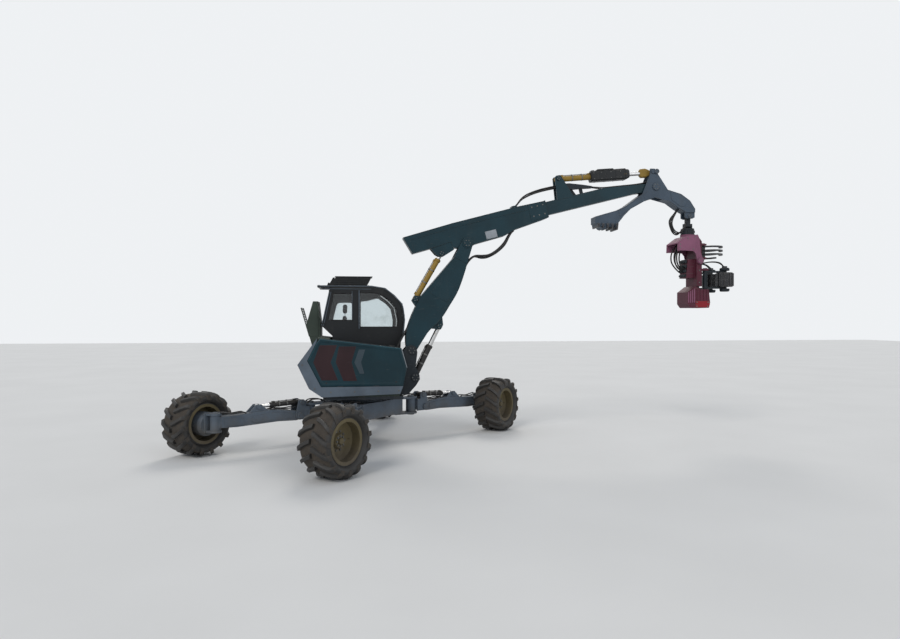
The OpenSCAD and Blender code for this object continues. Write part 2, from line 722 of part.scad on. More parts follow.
module tool_bracket() {
    cheek = [
        [-130, 250], [-120, 380], [-20, 380], [60, 250], [270, -57], [327, -305], [-11, -222], [-224, -295], [-298, -161]
    ];
    neck = [[200, -40], [300, -65], [565, -138], [762, -270], [883, -448], [883, -520], [680, -520], [519, -435], [327, -305], [150, -262]];
    tip = [[670, -470], [883, -470], [883, -625], [840, -648], [720, -648], [670, -625]];
    arm = [[-180, -100], [-298, -161], [-653, -418], [-841, -513], [-1333, -658], [-1333, -793], [-1154, -915],
        [-846, -804], [-700, -621], [-558, -481], [-224, -295], [-100, -250]];
    ear_at = tool_ear_at - bracket_pin_at;
    gap_half = tele_w / 2 + side_play;
    color("#8796a3") on_bracket() difference() {
        union() {
            plate_pair(cheek, gap_half, 35);
            bar_y([0, 0], main_pin_r - 5, -gap_half - 50, gap_half + 50);
            bar_y(ear_at, 40, gap_half + 30, gap_half + 55);
            bar_y(ear_at, 40, -gap_half - 55, -gap_half - 30);
            slab(neck, -gap_half - 34, gap_half + 34);
            plate_pair(tip, 66, 40);
            slab(arm, -gap_half - 34, gap_half + 34);
            for (i = [0:4]) translate([-1300 + i * 100, 0, 0])
                slab([[0, -790], [60, -790], [40, -880 - i * 12], [15, -880 - i * 12]], -160 - i * 4, 160 + i * 4);
            bar_y(hang_offset, 28, -100, 100);
        }
        slab([[-420, -130], [-300, -190], [105, -190], [190, 40], [190, 420], [-420, 420]], -gap_half, gap_half);
    }
    color("#8796a3") on_bracket() bar_y([0, 0], main_pin_r - 5, -gap_half - 20, gap_half + 20);
}

// Carries what is drawn in the head frame
module on_head() { in_machine() translate([hang[0], boom_y, hang[1]]) children(); }

module hanger_link()
    color("dimgray") on_head() difference() {
        union() {
            bar_y([0, 0], 52, -60, 60);
            translate([-55, 0, cross_z]) rotate([0, 90, 0]) cylinder(r = 50, h = 110);
            translate([-45, -45, cross_z]) cube([90, 90, -cross_z]);
        }
        bar_y([0, 0], 28 + pin_play, -80, 80);
        translate([-80, 0, cross_z]) rotate([0, 90, 0]) cylinder(r = 28 + pin_play, h = 160);
    }

module rotator() {
    ear_t = 25;
    ear_in = 60;
    drum_h = 130;
    color("#3a3d40") on_head() union() {
        translate([0, 0, flange_z + face_gap]) cylinder(r = 135, h = drum_h);
        for (x = [-ear_in - ear_t, ear_in])
            translate([x, -50, flange_z + drum_h - 10]) cube([ear_t, 100, cross_z + 45 - flange_z - drum_h + 10]);
        translate([-ear_in - ear_t - 10, 0, cross_z]) rotate([0, 90, 0]) cylinder(r = 28, h = 2 * (ear_in + ear_t + 10));
    }
}

module tilt_bracket() {
    cheek = [
        [-351, -758], [-345, -580], [-145, -438], [95, -410], [135, -500], [165, -800], [210, -910],
        [210, -1000], [155, -1035], [95, -1000], [55, -820], [-15, -740]
    ];
    sheet = [[-349, -604], [-345, -580], [-145, -438], [95, -410], [95, -442], [-137, -468], [-325, -602]];
    half = head_w / 2 + side_play;
    color("#a8566b") on_head() union() {
        plate_pair(cheek, half, 30);
        slab(sheet, -half - 1, half + 1);
        bar_y(tilt_pin, 40, -half - 50, half + 50);
        translate([0, 0, flange_z - 70]) cylinder(r = 150, h = 70);
    }
}

knife_pin = [260, head_w / 2 - 62];
knife_pin_r = 28;
knife_z = -878;
// The three tines of one knife, and the other knife's between them
tine_t = 34;
tine_pitch = 80;
roller_pin = [310, head_w / 2 - 60];
roller_pin_r = 34;
roller_z = -1510;
roller_out = [380, 105];
roller_shaft_r = 40;
arm_t = 36;

// A shelf of the head's frame, which holds the ends of the upright pins
module shelf(x_end, z, t) block(95, x_end, head_w / 2, z, z + t);

module head_frame() {
    spine = [[85, -1500], [205, -1500], [205, -550], [155, -485], [125, -485], [85, -550]];
    saw_box = [[-118, -1870], [-55, -1953], [362, -1953], [395, -1870], [362, -1560], [195, -1560], [55, -1495], [-118, -1620]];
    valve_block = [[-105, -1320], [87, -1320], [87, -920], [-65, -920]];
    half = head_w / 2;
    color("#8c2f38") on_head() difference() {
        union() {
            slab(spine, -half, half);
            slab(saw_box, -half, half);
            slab(valve_block, -150, 150);
            shelf(roller_pin[0] + 50, roller_z + roller_h + arm_t + 10, 40);
            shelf(knife_pin[0] + 50, knife_z - 40, 35);
            shelf(knife_pin[0] + 50, knife_z + 3 * tine_pitch + 5, 35);
            for (s = [-1, 1]) {
                translate([roller_pin[0], s * roller_pin[1], roller_z - 60])
                    cylinder(r = roller_pin_r, h = roller_h + arm_t + 100);
                translate([knife_pin[0], s * knife_pin[1], knife_z - 20])
                    cylinder(r = knife_pin_r, h = 3 * tine_pitch + 40);
            }
        }
        bar_y(tilt_pin, 40 + pin_play, -half - 60, half + 60);
        slab([[135, -1910], [415, -1910], [415, -1850], [135, -1850]], -half - 10, half + 10);
    }
}

function arc(centre, r, from, to, steps) = [
    for (i = [0:steps]) let (a = from + (to - from) * i / steps) centre + r * [cos(a), sin(a)]
];

// Delimbing knife on its upright pin: three tines that curve round the trunk
module knife(s) {
    trunk = [150, 150];
    open_turn = 28;
    tine = concat(
        arc(trunk, 250, 215, 395, 12), arc(trunk + [-12, -6], 205, 390, 225, 12)
    );
    low = knife_z + (s > 0 ? 0 : 40);
    color("#2f3033") on_head() translate([knife_pin[0], s * knife_pin[1], 0])
        mirror([0, s > 0 ? 1 : 0, 0]) rotate([0, 0, -open_turn]) difference() {
            union() {
                for (i = [0:2]) translate([0, 0, low + i * tine_pitch]) linear_extrude(tine_t) polygon(tine);
                translate([0, 0, knife_z]) cylinder(r = 46, h = 3 * tine_pitch - 5);
            }
            translate([0, 0, knife_z - 10]) cylinder(r = knife_pin_r + pin_play, h = 3 * tine_pitch + 20);
        }
}

module roller_arm(s) {
    plate = [
        [-48, -20], [-20, -48], [60, -40], roller_out + [20, -50], roller_out + [45, 10],
        roller_out + [-10, 50], [60, 60], [-20, 48], [-48, 20]
    ];
    low = roller_z - arm_t - 2;
    high = roller_z + roller_h + 2;
    color("#3a3d40") on_head() translate([roller_pin[0], s * roller_pin[1], 0])
        mirror([0, s < 0 ? 1 : 0, 0]) difference() {
            union() {
                for (z = [low, high]) translate([0, 0, z]) linear_extrude(arm_t) polygon(plate);
                translate([0, 0, low]) cylinder(r = 48, h = high + arm_t - low);
                translate([roller_out[0], roller_out[1], low]) cylinder(r = roller_shaft_r, h = high + arm_t - low);
            }
            translate([0, 0, low - 10]) cylinder(r = roller_pin_r + pin_play, h = high - low + 80);
        }
}

module roller(s) {
    stud = [[-26, 0], [-12, 34], [12, 34], [26, 0]];
    drum_r = roller_r - 34;
    at = [roller_pin[0] + roller_out[0], s * (roller_pin[1] + roller_out[1]), roller_z];
    color("#2b2d2f") on_head() translate(at) difference() {
        union() {
            cylinder(r = drum_r, h = roller_h);
            for (i = [0:stud_count - 1]) rotate([0, 0, (i + 0.25) * 360 / stud_count])
                translate([0, drum_r - 4, 15]) linear_extrude(roller_h - 30) polygon(stud);
        }
        translate([0, 0, -10]) cylinder(r = roller_shaft_r + pin_play, h = roller_h + 20);
    }
}

chassis();
swing_bracket(REAR_LEFT);  // swing_bracket_rl
swing_bracket(REAR_RIGHT);  // swing_bracket_rr
swing_bracket(FRONT_LEFT);  // swing_bracket_fl
swing_bracket(FRONT_RIGHT);  // swing_bracket_fr
leg(REAR_LEFT);  // leg_rl
leg(REAR_RIGHT);  // leg_rr
leg(FRONT_LEFT);  // leg_fl
leg(FRONT_RIGHT);  // leg_fr
lift_barrel(REAR_LEFT);  // lift_barrel_rl
lift_barrel(REAR_RIGHT);  // lift_barrel_rr
lift_barrel(FRONT_LEFT);  // lift_barrel_fl
lift_barrel(FRONT_RIGHT);  // lift_barrel_fr
lift_rod(REAR_LEFT);  // lift_rod_rl
lift_rod(REAR_RIGHT);  // lift_rod_rr
lift_rod(FRONT_LEFT);  // lift_rod_fl
lift_rod(FRONT_RIGHT);  // lift_rod_fr
knuckle(REAR_LEFT);  // knuckle_rl
knuckle(REAR_RIGHT);  // knuckle_rr
knuckle(FRONT_LEFT);  // knuckle_fl
knuckle(FRONT_RIGHT);  // knuckle_fr
rim(REAR_LEFT);  // rim_rl
rim(REAR_RIGHT);  // rim_rr
rim(FRONT_LEFT);  // rim_fl
rim(FRONT_RIGHT);  // rim_fr
tyre(REAR_LEFT);  // tyre_rl
tyre(REAR_RIGHT);  // tyre_rr
tyre(FRONT_LEFT);  // tyre_fl
tyre(FRONT_RIGHT);  // tyre_fr
upper_frame();
housing();
engine_block();
side_covers();
tail_bumper();
cab_shell();
cab_glass();
cab_guard();
seat();
cab_door();
door_glass();
boom();
boom_lift_barrel();
boom_lift_rod();
stick_barrel();
stick_rod();
stick();
telescope();
tool_barrel();
tool_rod();
tool_bracket();
hanger_link();
rotator();
tilt_bracket();
head_frame();
knife(1);  // knife_left
knife(-1);  // knife_right
roller_arm(1);  // roller_arm_left
roller_arm(-1);  // roller_arm_right
roller(1);  // roller_left
roller(-1);  // roller_right
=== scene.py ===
"""Walking forestry excavator with a harvester head, dressed on its frame of solids."""
import json
import math

import bmesh
import bpy
from mathutils import Matrix, Vector


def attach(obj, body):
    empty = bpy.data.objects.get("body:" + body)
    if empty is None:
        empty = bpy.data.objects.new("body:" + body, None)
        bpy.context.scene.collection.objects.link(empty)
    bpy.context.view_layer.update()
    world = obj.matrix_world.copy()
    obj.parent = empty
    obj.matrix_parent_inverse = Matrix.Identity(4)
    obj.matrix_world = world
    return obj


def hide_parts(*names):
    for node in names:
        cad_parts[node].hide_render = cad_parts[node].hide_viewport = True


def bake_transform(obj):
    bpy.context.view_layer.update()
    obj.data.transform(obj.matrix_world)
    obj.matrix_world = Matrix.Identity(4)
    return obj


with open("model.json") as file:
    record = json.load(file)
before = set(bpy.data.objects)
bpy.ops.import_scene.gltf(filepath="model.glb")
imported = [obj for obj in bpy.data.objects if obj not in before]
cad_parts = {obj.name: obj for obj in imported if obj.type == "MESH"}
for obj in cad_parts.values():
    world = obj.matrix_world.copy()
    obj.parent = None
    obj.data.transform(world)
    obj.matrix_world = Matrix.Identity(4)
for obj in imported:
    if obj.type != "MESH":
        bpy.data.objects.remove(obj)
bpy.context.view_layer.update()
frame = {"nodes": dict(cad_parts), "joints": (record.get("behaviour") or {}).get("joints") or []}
nodes = frame["nodes"]
joints = {joint["name"]: joint for joint in frame["joints"]}


# The studio: a pale floor and backdrop, soft lamps, and the camera where the photographer stood.
# The camera looks level along the machine's right side, from 14 m away.
class Wire:
    """A node's socket. Sums, products and quotients of wires add Math nodes."""

    def __init__(self, tree, socket):
        self.tree, self.socket = tree, socket

    def maths(self, operation, first, second):
        return self.tree.node("ShaderNodeMath", {"operation": operation}, {0: first, 1: second})

    def __add__(self, other):
        return self.maths("ADD", self, other)

    def __radd__(self, other):
        return self.maths("ADD", other, self)

    def __sub__(self, other):
        return self.maths("SUBTRACT", self, other)

    def __rsub__(self, other):
        return self.maths("SUBTRACT", other, self)

    def __mul__(self, other):
        return self.maths("MULTIPLY", self, other)

    def __rmul__(self, other):
        return self.maths("MULTIPLY", other, self)

    def __truediv__(self, other):
        return self.maths("DIVIDE", self, other)

    def __rtruediv__(self, other):
        return self.maths("DIVIDE", other, self)


class Tree:
    """A node tree, with one way to add a node: its type, its settings and its sockets."""

    def __init__(self, tree):
        self.tree = tree

    def node(self, kind, settings=None, sockets=None, out=0):
        made = self.tree.nodes.new(kind)
        for key, value in (settings or {}).items():
            if key == "stops":
                ramp = made.color_ramp
                while len(ramp.elements) < len(value):
                    ramp.elements.new(1.0)
                for element, (position, colour) in zip(ramp.elements, value):
                    element.position, element.color = position, colour
            else:
                setattr(made, key, value)
        for key, value in (sockets or {}).items():
            if isinstance(value, Wire):
                self.tree.links.new(value.socket, made.inputs[key])
            else:
                made.inputs[key].default_value = value
        return Wire(self, made.outputs[out])


class Finish(Tree):
    """A material with a Principled shader, and the masks that its look is made of."""

    def __init__(self, name, **fixed):
        self.material = bpy.data.materials.new(name)
        self.material.use_nodes = True
        super().__init__(self.material.node_tree)
        self.shader = self.tree.nodes["Principled BSDF"]
        self.place = self.node("ShaderNodeTexCoord", out="Object")
        for key, value in fixed.items():
            self.shader.inputs[key.replace("_", " ")].default_value = value

    def feed(self, **wires):
        for key, value in wires.items():
            self.tree.links.new(value.socket, self.shader.inputs[key.replace("_", " ")])
        return self.material

    def noise(self, scale, detail=3.0, rough=0.5, stretch=(1, 1, 1)):
        place = self.node("ShaderNodeMapping", {}, {"Vector": self.place, "Scale": stretch})
        return self.node("ShaderNodeTexNoise", {},
                         {"Vector": place, "Scale": scale, "Detail": detail, "Roughness": rough}, "Fac")

    def step(self, value, low, high):
        """0 below low, 1 above high and a smooth rise between."""
        return self.node("ShaderNodeMapRange", {"interpolation_type": "SMOOTHSTEP"},
                         {"Value": value, "From Min": low, "From Max": high})

    def mix(self, first, second, mask):
        return self.node("ShaderNodeMix", {"data_type": "RGBA"}, {0: mask, 6: first, 7: second}, 2)

    def height(self):
        return self.node("ShaderNodeSeparateXYZ", {}, {0: self.place}, "Z")

    def rounded(self, radius):
        return self.node("ShaderNodeBevel", {"samples": 4}, {"Radius": radius})

    def edges(self, radius):
        """1 on a sharp edge, 0 on a flat face."""
        flat = self.node("ShaderNodeNewGeometry", out="Normal")
        same = self.node("ShaderNodeVectorMath", {"operation": "DOT_PRODUCT"},
                         {0: self.rounded(radius), 1: flat}, "Value")
        return self.step(same, 0.995, 0.86)

    def facing_up(self):
        flat = self.node("ShaderNodeNewGeometry", out="Normal")
        return self.step(self.node("ShaderNodeSeparateXYZ", {}, {0: flat}, "Z"), 0.25, 0.95)

    def bump(self, height, depth, normal=None):
        sockets = {"Height": height, "Distance": depth, "Strength": 1.0}
        if normal is not None:
            sockets["Normal"] = normal
        return self.node("ShaderNodeBump", {}, sockets)


def grey(level):
    return (level, level, level, 1.0)


world = bpy.data.worlds.new("studio")
bpy.context.scene.world = world
world.use_nodes = True
studio = Tree(world.node_tree)
BACKDROP = (0.86, 0.88, 0.90, 1.0)
FILL = (0.80, 0.86, 0.95, 1.0)
rays = studio.tree.nodes.new("ShaderNodeLightPath")
seen = studio.node("ShaderNodeMath", {"operation": "ADD", "use_clamp": True},
                   {0: Wire(studio, rays.outputs["Is Camera Ray"])
                    + Wire(studio, rays.outputs["Is Transmission Ray"]),
                    1: Wire(studio, rays.outputs["Is Glossy Ray"])})
sky = studio.node("ShaderNodeMix", {"data_type": "RGBA"}, {0: seen, 6: FILL, 7: BACKDROP}, 2)
strength = 0.50 + 0.50 * seen
background = world.node_tree.nodes["Background"]
world.node_tree.links.new(sky.socket, background.inputs["Color"])
world.node_tree.links.new(strength.socket, background.inputs["Strength"])

FLOOR_HALF, FLOOR_Z = 60.0, -0.002
floor_corners = [(-FLOOR_HALF, -FLOOR_HALF, FLOOR_Z), (FLOOR_HALF, -FLOOR_HALF, FLOOR_Z),
                 (FLOOR_HALF, FLOOR_HALF, FLOOR_Z), (-FLOOR_HALF, FLOOR_HALF, FLOOR_Z)]
floor_mesh = bpy.data.meshes.new("floor")
floor_mesh.from_pydata(floor_corners, [], [(0, 1, 2, 3)])
floor = bpy.data.objects.new("floor", floor_mesh)
bpy.context.scene.collection.objects.link(floor)
concrete = Finish("pale_floor", Roughness=0.85)
floor_mesh.materials.append(concrete.feed(Base_Color=concrete.mix(
    (0.66, 0.66, 0.65, 1), (0.74, 0.74, 0.73, 1), concrete.noise(0.4))))


def lamp(name, place, spread, power, colour):
    """A wide, even light from a direction: it lights the floor the same from front to back."""
    light = bpy.data.lights.new(name, "SUN")
    light.angle, light.energy, light.color = math.radians(spread), power, colour
    made = bpy.data.objects.new(name, light)
    made.location = place
    made.rotation_euler = (-Vector(place)).to_track_quat("-Z", "Y").to_euler()
    bpy.context.scene.collection.objects.link(made)


lamp("key", (-7.0, -9.0, 9.0), 24.0, 1.10, (1.0, 0.97, 0.93))
lamp("fill", (8.0, -10.0, 5.0), 40.0, 0.45, (0.95, 0.97, 1.0))
lamp("back", (2.0, 9.0, 9.0), 24.0, 0.80, (1.0, 0.96, 0.90))

camera = bpy.data.objects.new("camera", bpy.data.cameras.new("camera"))
camera.location = (-2.177, -13.72, 2.5)
camera.rotation_euler = Vector((0.139, 0.990, 0.0)).to_track_quat("-Z", "Y").to_euler()
camera.data.lens = 26.4
camera.data.clip_end = 200.0
bpy.context.scene.collection.objects.link(camera)
bpy.context.scene.camera = camera
bpy.context.scene.view_settings.view_transform = "Standard"


# Chassis: a welded steel box with clevis ears for four legs, worn to a blue-grey and splashed with mud.
# The slewing ring is bolted down on top, and hoses leave the middle for every leg.
def worn_paint(name, colour, under=(0.10, 0.095, 0.09, 1), rough=0.42, wear=0.5, dust=0.35, mud=0.0,
               radius=0.006, metallic=0.0):
    """Paint on steel: faded in patches, rubbed bare on edges, dusty on top and muddy low down."""
    paint = Finish(name, Metallic=metallic, Specular_IOR_Level=0.25 + 0.25 * metallic)
    patches = paint.noise(1.7, 5.0, 0.6)
    shade = tuple(c * 0.72 for c in colour[:3]) + (1.0,)
    tint = paint.mix(shade, colour, paint.step(patches, 0.30, 0.66))
    streaks = paint.step(paint.noise(6.0, 4.0, 0.6, (1.0, 1.0, 0.12)), 0.52, 0.72)
    dirt_colour = paint.mix((0.075, 0.060, 0.045, 1), (0.17, 0.145, 0.11, 1), paint.noise(9.0, 3.0))
    grain = paint.noise(38.0, 5.0, 0.65)
    chipped = paint.step(paint.edges(radius) * 1.5 * grain + wear * 0.55, 0.80, 0.98)
    scratches = paint.step(paint.noise(22.0, 2.0, 0.4, (0.3, 1.0, 3.0)), 0.70 - 0.06 * wear, 0.74)
    bare = paint.node("ShaderNodeMath", {"operation": "MAXIMUM"}, {0: chipped, 1: scratches * (0.45 * wear)})
    settled = paint.facing_up() * paint.step(paint.noise(5.0, 5.0, 0.65), 0.35, 0.75) * dust
    low = paint.step(paint.height() + 0.9 * paint.noise(2.6, 6.0, 0.65), 1.25, 0.55) * mud
    soiled = paint.node("ShaderNodeMath", {"operation": "MAXIMUM", "use_clamp": True},
                        {0: settled + streaks * (0.22 * dust), 1: low})
    tint = paint.mix(tint, under, bare)
    tint = paint.mix(tint, dirt_colour, soiled)
    shine = rough + 0.16 * grain + 0.35 * soiled + 0.10 * bare
    relief = 0.5 * grain + 2.0 * soiled * paint.noise(30.0, 4.0, 0.7) - 0.6 * chipped
    normal = paint.bump(relief, 0.0012, paint.rounded(radius))
    return paint.feed(Base_Color=tint, Roughness=shine, Normal=normal)


def coat(material, *names):
    """Gives CAD nodes, named by their start, a material."""
    for name, node in nodes.items():
        if name.startswith(names):
            node.material_slots[0].material = material


leg_steel = worn_paint("leg_steel", (0.105, 0.132, 0.165, 1), (0.11, 0.09, 0.075, 1), 0.46, 0.95, 0.6, 0.9)
coat(leg_steel, "chassis", "swing_bracket", "leg", "knuckle")
bracket_blue = worn_paint("bracket_blue", (0.062, 0.088, 0.120, 1), (0.13, 0.125, 0.12, 1), 0.40, 0.8, 0.4)
coat(bracket_blue, "tool_bracket")
grey_strip = worn_paint("grey_strip", (0.115, 0.145, 0.180, 1), rough=0.38, wear=0.55, dust=0.3)
coat(grey_strip, "tail_bumper")
petrol = worn_paint("petrol_green", (0.0065, 0.031, 0.043, 1), rough=0.30, wear=0.45, dust=0.15)
coat(petrol, "side_covers", "boom", "stick", "telescope")
olive = worn_paint("olive_hood", (0.045, 0.062, 0.050, 1), rough=0.5, wear=0.4, dust=0.3)
coat(olive, "housing")
frame_dark = worn_paint("frame_dark", (0.016, 0.022, 0.028, 1), rough=0.45, wear=0.6, dust=0.35)
coat(frame_dark, "upper_frame", "hanger_link", "rotator", "roller_arm", "engine_block")
cab_black = worn_paint("cab_black", (0.014, 0.016, 0.018, 1), rough=0.32, wear=0.35, dust=0.30)
coat(cab_black, "cab_shell", "cab_guard", "cab_door")
cylinder_yellow = worn_paint("cylinder_yellow", (0.30, 0.190, 0.036, 1), rough=0.40, wear=0.7, dust=0.4)
coat(cylinder_yellow, "stick_barrel", "tool_barrel")
cylinder_dark = worn_paint("cylinder_dark", (0.028, 0.027, 0.027, 1), rough=0.35, wear=0.6, dust=0.4, mud=0.4)
coat(cylinder_dark, "boom_lift_barrel", "lift_barrel")
head_red = worn_paint("head_red", (0.090, 0.016, 0.032, 1), rough=0.42, wear=0.9, dust=0.4)
coat(head_red, "head_frame")
head_pink = worn_paint("head_pink", (0.25, 0.095, 0.160, 1), rough=0.5, wear=0.8, dust=0.4)
coat(head_pink, "tilt_bracket")
rim_mud = worn_paint("rim_mud", (0.145, 0.118, 0.062, 1), rough=0.6, wear=0.8, dust=0.6, mud=0.85)
coat(rim_mud, "rim")
knife_steel = worn_paint("knife_steel", (0.045, 0.046, 0.05, 1), (0.24, 0.23, 0.22, 1), 0.34, 1.0, 0.4,
                         metallic=0.6)
coat(knife_steel, "knife", "roller_left", "roller_right")

chrome = Finish("chrome", Metallic=1.0)
chrome.feed(Base_Color=chrome.mix(grey(0.62), (0.50, 0.47, 0.42, 1),
                                  chrome.step(chrome.noise(14.0), 0.5, 0.8)),
            Roughness=0.10 + 0.22 * chrome.noise(40.0, 3.0, 0.6, (1, 1, 0.2)))
coat(chrome.material, "lift_rod", "boom_lift_rod", "stick_rod", "tool_rod")

glass = Finish("glass", Transmission_Weight=1.0, IOR=1.45, Alpha=1.0)
glass.feed(Base_Color=glass.mix((0.78, 0.83, 0.84, 1), (0.58, 0.61, 0.60, 1),
                                glass.step(glass.noise(3.0), 0.5, 0.9)),
           Roughness=0.02 + 0.10 * glass.step(glass.noise(8.0, 5.0), 0.5, 0.8))
coat(glass.material, "cab_glass", "door_glass")


class Shape:
    """A mesh in the making, in millimetres of one frame."""

    def __init__(self):
        self.mesh = bmesh.new()

    def loft(self, rings, closed=True, caps=True):
        """Rings of as many points each, joined in turn and capped at the ends."""
        made = [[self.mesh.verts.new(point) for point in ring] for ring in rings]
        count = len(made[0])
        for lower, upper in zip(made, made[1:]):
            for i in range(count if closed else count - 1):
                k = (i + 1) % count
                self.mesh.faces.new((lower[i], lower[k], upper[k], upper[i]))
        if caps:
            self.mesh.faces.new(made[0][::-1])
            self.mesh.faces.new(made[-1])

    def prism(self, outline, y0, y1):
        """A side-view outline of x and z points, between two y values."""
        self.loft([[(x, y, z) for x, z in outline] for y in (y0, y1)])

    def box(self, low, high):
        outline = [(low[0], low[2]), (high[0], low[2]), (high[0], high[2]), (low[0], high[2])]
        self.prism(outline, low[1], high[1])

    def sweep(self, points, radius, sides=10):
        """A round tube along points. A list of radii gives each point its own."""
        points = [Vector(p) for p in points]
        radii = radius if isinstance(radius, list) else [radius] * len(points)
        steps = [(b - a).normalized() for a, b in zip(points, points[1:])]
        tangents = [steps[0]] + [(a + b).normalized() for a, b in zip(steps, steps[1:])] + [steps[-1]]
        side = tangents[0].orthogonal().normalized()
        rings = []
        for point, along, r in zip(points, tangents, radii):
            side = (side - along * side.dot(along)).normalized()
            across = along.cross(side)
            turns = [2 * math.pi * i / sides for i in range(sides)]
            rings.append([point + (side * math.cos(a) + across * math.sin(a)) * r for a in turns])
        self.loft(rings)

    def band(self, x0, x1, inner, outer, sides=28):
        """A flat ring round the x axis."""
        turns = [2 * math.pi * i / sides for i in range(sides)]
        made = [[self.mesh.verts.new((x, r * math.cos(a), r * math.sin(a))) for a in turns]
                for x, r in ((x0, inner), (x0, outer), (x1, outer), (x1, inner))]
        for lower, upper in zip(made, made[1:] + made[:1]):
            for i in range(sides):
                k = (i + 1) % sides
                self.mesh.faces.new((lower[i], lower[k], upper[k], upper[i]))

    def pin_head(self, centre, along, radius, height):
        """A round cap with a chamfer, standing on a face."""
        along = Vector(along).normalized()
        centre = Vector(centre)
        rise = min(0.3 * height, 4.0)
        self.sweep([centre, centre + along * (height - rise), centre + along * height],
                   [radius, radius, radius - rise], 28)

    def made(self, name, place, material, body, slot=None, bevel=0.0, sharp=32):
        """Ends the mesh as a piece that rides on a body."""
        bmesh.ops.recalc_face_normals(self.mesh, faces=self.mesh.faces)
        mesh = bpy.data.meshes.new(name)
        self.mesh.to_mesh(mesh)
        self.mesh.free()
        return piece(mesh, name, place, material, body, bevel, sharp)


def piece(mesh, name, place, material, body, bevel=0.0, sharp=32):
    mesh.transform(place)
    mesh.shade_smooth()
    mesh.set_sharp_from_angle(angle=math.radians(sharp))
    if material is not None:
        mesh.materials.clear()
        mesh.materials.append(material)
    made = bpy.data.objects.new(name, mesh)
    bpy.context.scene.collection.objects.link(made)
    if bevel:
        rounding = made.modifiers.new("rounding", "BEVEL")
        rounding.width, rounding.segments, rounding.limit_method = bevel / 1000, 3, "ANGLE"
        rounding.angle_limit = math.radians(sharp)
        rounding.harden_normals = False
    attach(made, body)
    return made


def smooth(points, steps=6):
    """A curve through points, as many shorter steps."""
    points = [Vector(p) for p in points]
    ends = [2 * points[0] - points[1]] + points + [2 * points[-1] - points[-2]]
    path = []
    for a, b, c, d in zip(ends, ends[1:], ends[2:], ends[3:]):
        for i in range(steps):
            t = i / steps
            path.append(0.5 * (2 * b + (c - a) * t + (2 * a - 5 * b + 4 * c - d) * t * t
                               + (3 * b - a - 3 * c + d) * t ** 3))
    return path + [points[-1]]


def grown(tree, **values):
    """The plain mesh that a geometry tree makes with these inputs."""
    holder = bpy.data.objects.new("holder", bpy.data.meshes.new("holder"))
    bpy.context.scene.collection.objects.link(holder)
    modifier = holder.modifiers.new("grow", "NODES")
    modifier.node_group = tree.tree
    for item in tree.tree.interface.items_tree:
        if item.in_out == "INPUT":
            modifier[item.identifier] = values[item.name.replace(" ", "_").lower()]
    holder.update_tag()
    shown = holder.evaluated_get(bpy.context.evaluated_depsgraph_get())
    mesh = bpy.data.meshes.new_from_object(shown)
    bpy.data.objects.remove(holder)
    return mesh


def geometry_tree(name, **inputs):
    """An empty geometry tree with named inputs, and the wires of those inputs."""
    group = bpy.data.node_groups.new(name, "GeometryNodeTree")
    group.interface.new_socket("Geometry", in_out="OUTPUT", socket_type="NodeSocketGeometry")
    for key, kind in inputs.items():
        group.interface.new_socket(key.replace("_", " ").capitalize(), in_out="INPUT",
                                   socket_type="NodeSocket" + kind)
    tree = Tree(group)
    source = group.nodes.new("NodeGroupInput")
    return tree, [Wire(tree, source.outputs[i]) for i in range(len(inputs))]


def end_tree(tree, instances, material):
    """Closes a geometry tree with Realize Instances and Set Material."""
    real = tree.node("GeometryNodeRealizeInstances", {}, {0: instances})
    painted = tree.node("GeometryNodeSetMaterial", {}, {"Geometry": real, "Material": material})
    sink = tree.tree.nodes.new("NodeGroupOutput")
    tree.tree.links.new(painted.socket, sink.inputs[0])


def joined(tree, *parts):
    made = tree.tree.nodes.new("GeometryNodeJoinGeometry")
    for part in parts:
        tree.tree.links.new(part.socket, made.inputs[0])
    return Wire(tree, made.outputs[0])


# Hexagon heads on washers, round a circle that lies in the x-y plane
bolt_circle, (count, ring, head, rise, paint) = geometry_tree(
    "bolt_circle", count="Int", ring="Float", head="Float", rise="Float", material="Material")
hexagon = bolt_circle.node("GeometryNodeMeshCylinder", {}, {"Vertices": 6, "Radius": head, "Depth": rise})
washer = bolt_circle.node("GeometryNodeMeshCylinder", {},
                          {"Vertices": 16, "Radius": head * 1.35, "Depth": rise * 0.3})
lift_up = bolt_circle.node("ShaderNodeCombineXYZ", {}, {"Z": rise * 0.5})
hexagon = bolt_circle.node("GeometryNodeTransform", {}, {"Geometry": hexagon, "Translation": lift_up})
number = bolt_circle.node("GeometryNodeInputIndex", {}, {})
around = bolt_circle.node("ShaderNodeMath", {"operation": "DIVIDE"}, {0: number * (2 * math.pi), 1: count})
across = bolt_circle.node("ShaderNodeMath", {"operation": "COSINE"}, {0: around})
upward = bolt_circle.node("ShaderNodeMath", {"operation": "SINE"}, {0: around})
on_ring = bolt_circle.node("ShaderNodeCombineXYZ", {}, {"X": across * ring, "Y": upward * ring})
circle = bolt_circle.node("GeometryNodeMeshLine", {}, {"Count": count})
circle = bolt_circle.node("GeometryNodeSetPosition", {}, {"Geometry": circle, "Position": on_ring})
placed = bolt_circle.node("GeometryNodeInstanceOnPoints", {},
                          {"Points": circle, "Instance": joined(bolt_circle, hexagon, washer)})
end_tree(bolt_circle, placed, paint)

bolt_zinc = worn_paint("bolt_zinc", (0.16, 0.16, 0.155, 1), rough=0.4, wear=0.6, dust=0.6, mud=0.5,
                       radius=0.002, metallic=0.7)


def facing(centre, along):
    """A place, in millimetres, whose z axis points along a direction."""
    turn = Vector(along).to_track_quat("Z", "Y").to_matrix().to_4x4()
    return Matrix.Translation(Vector(centre)) @ turn


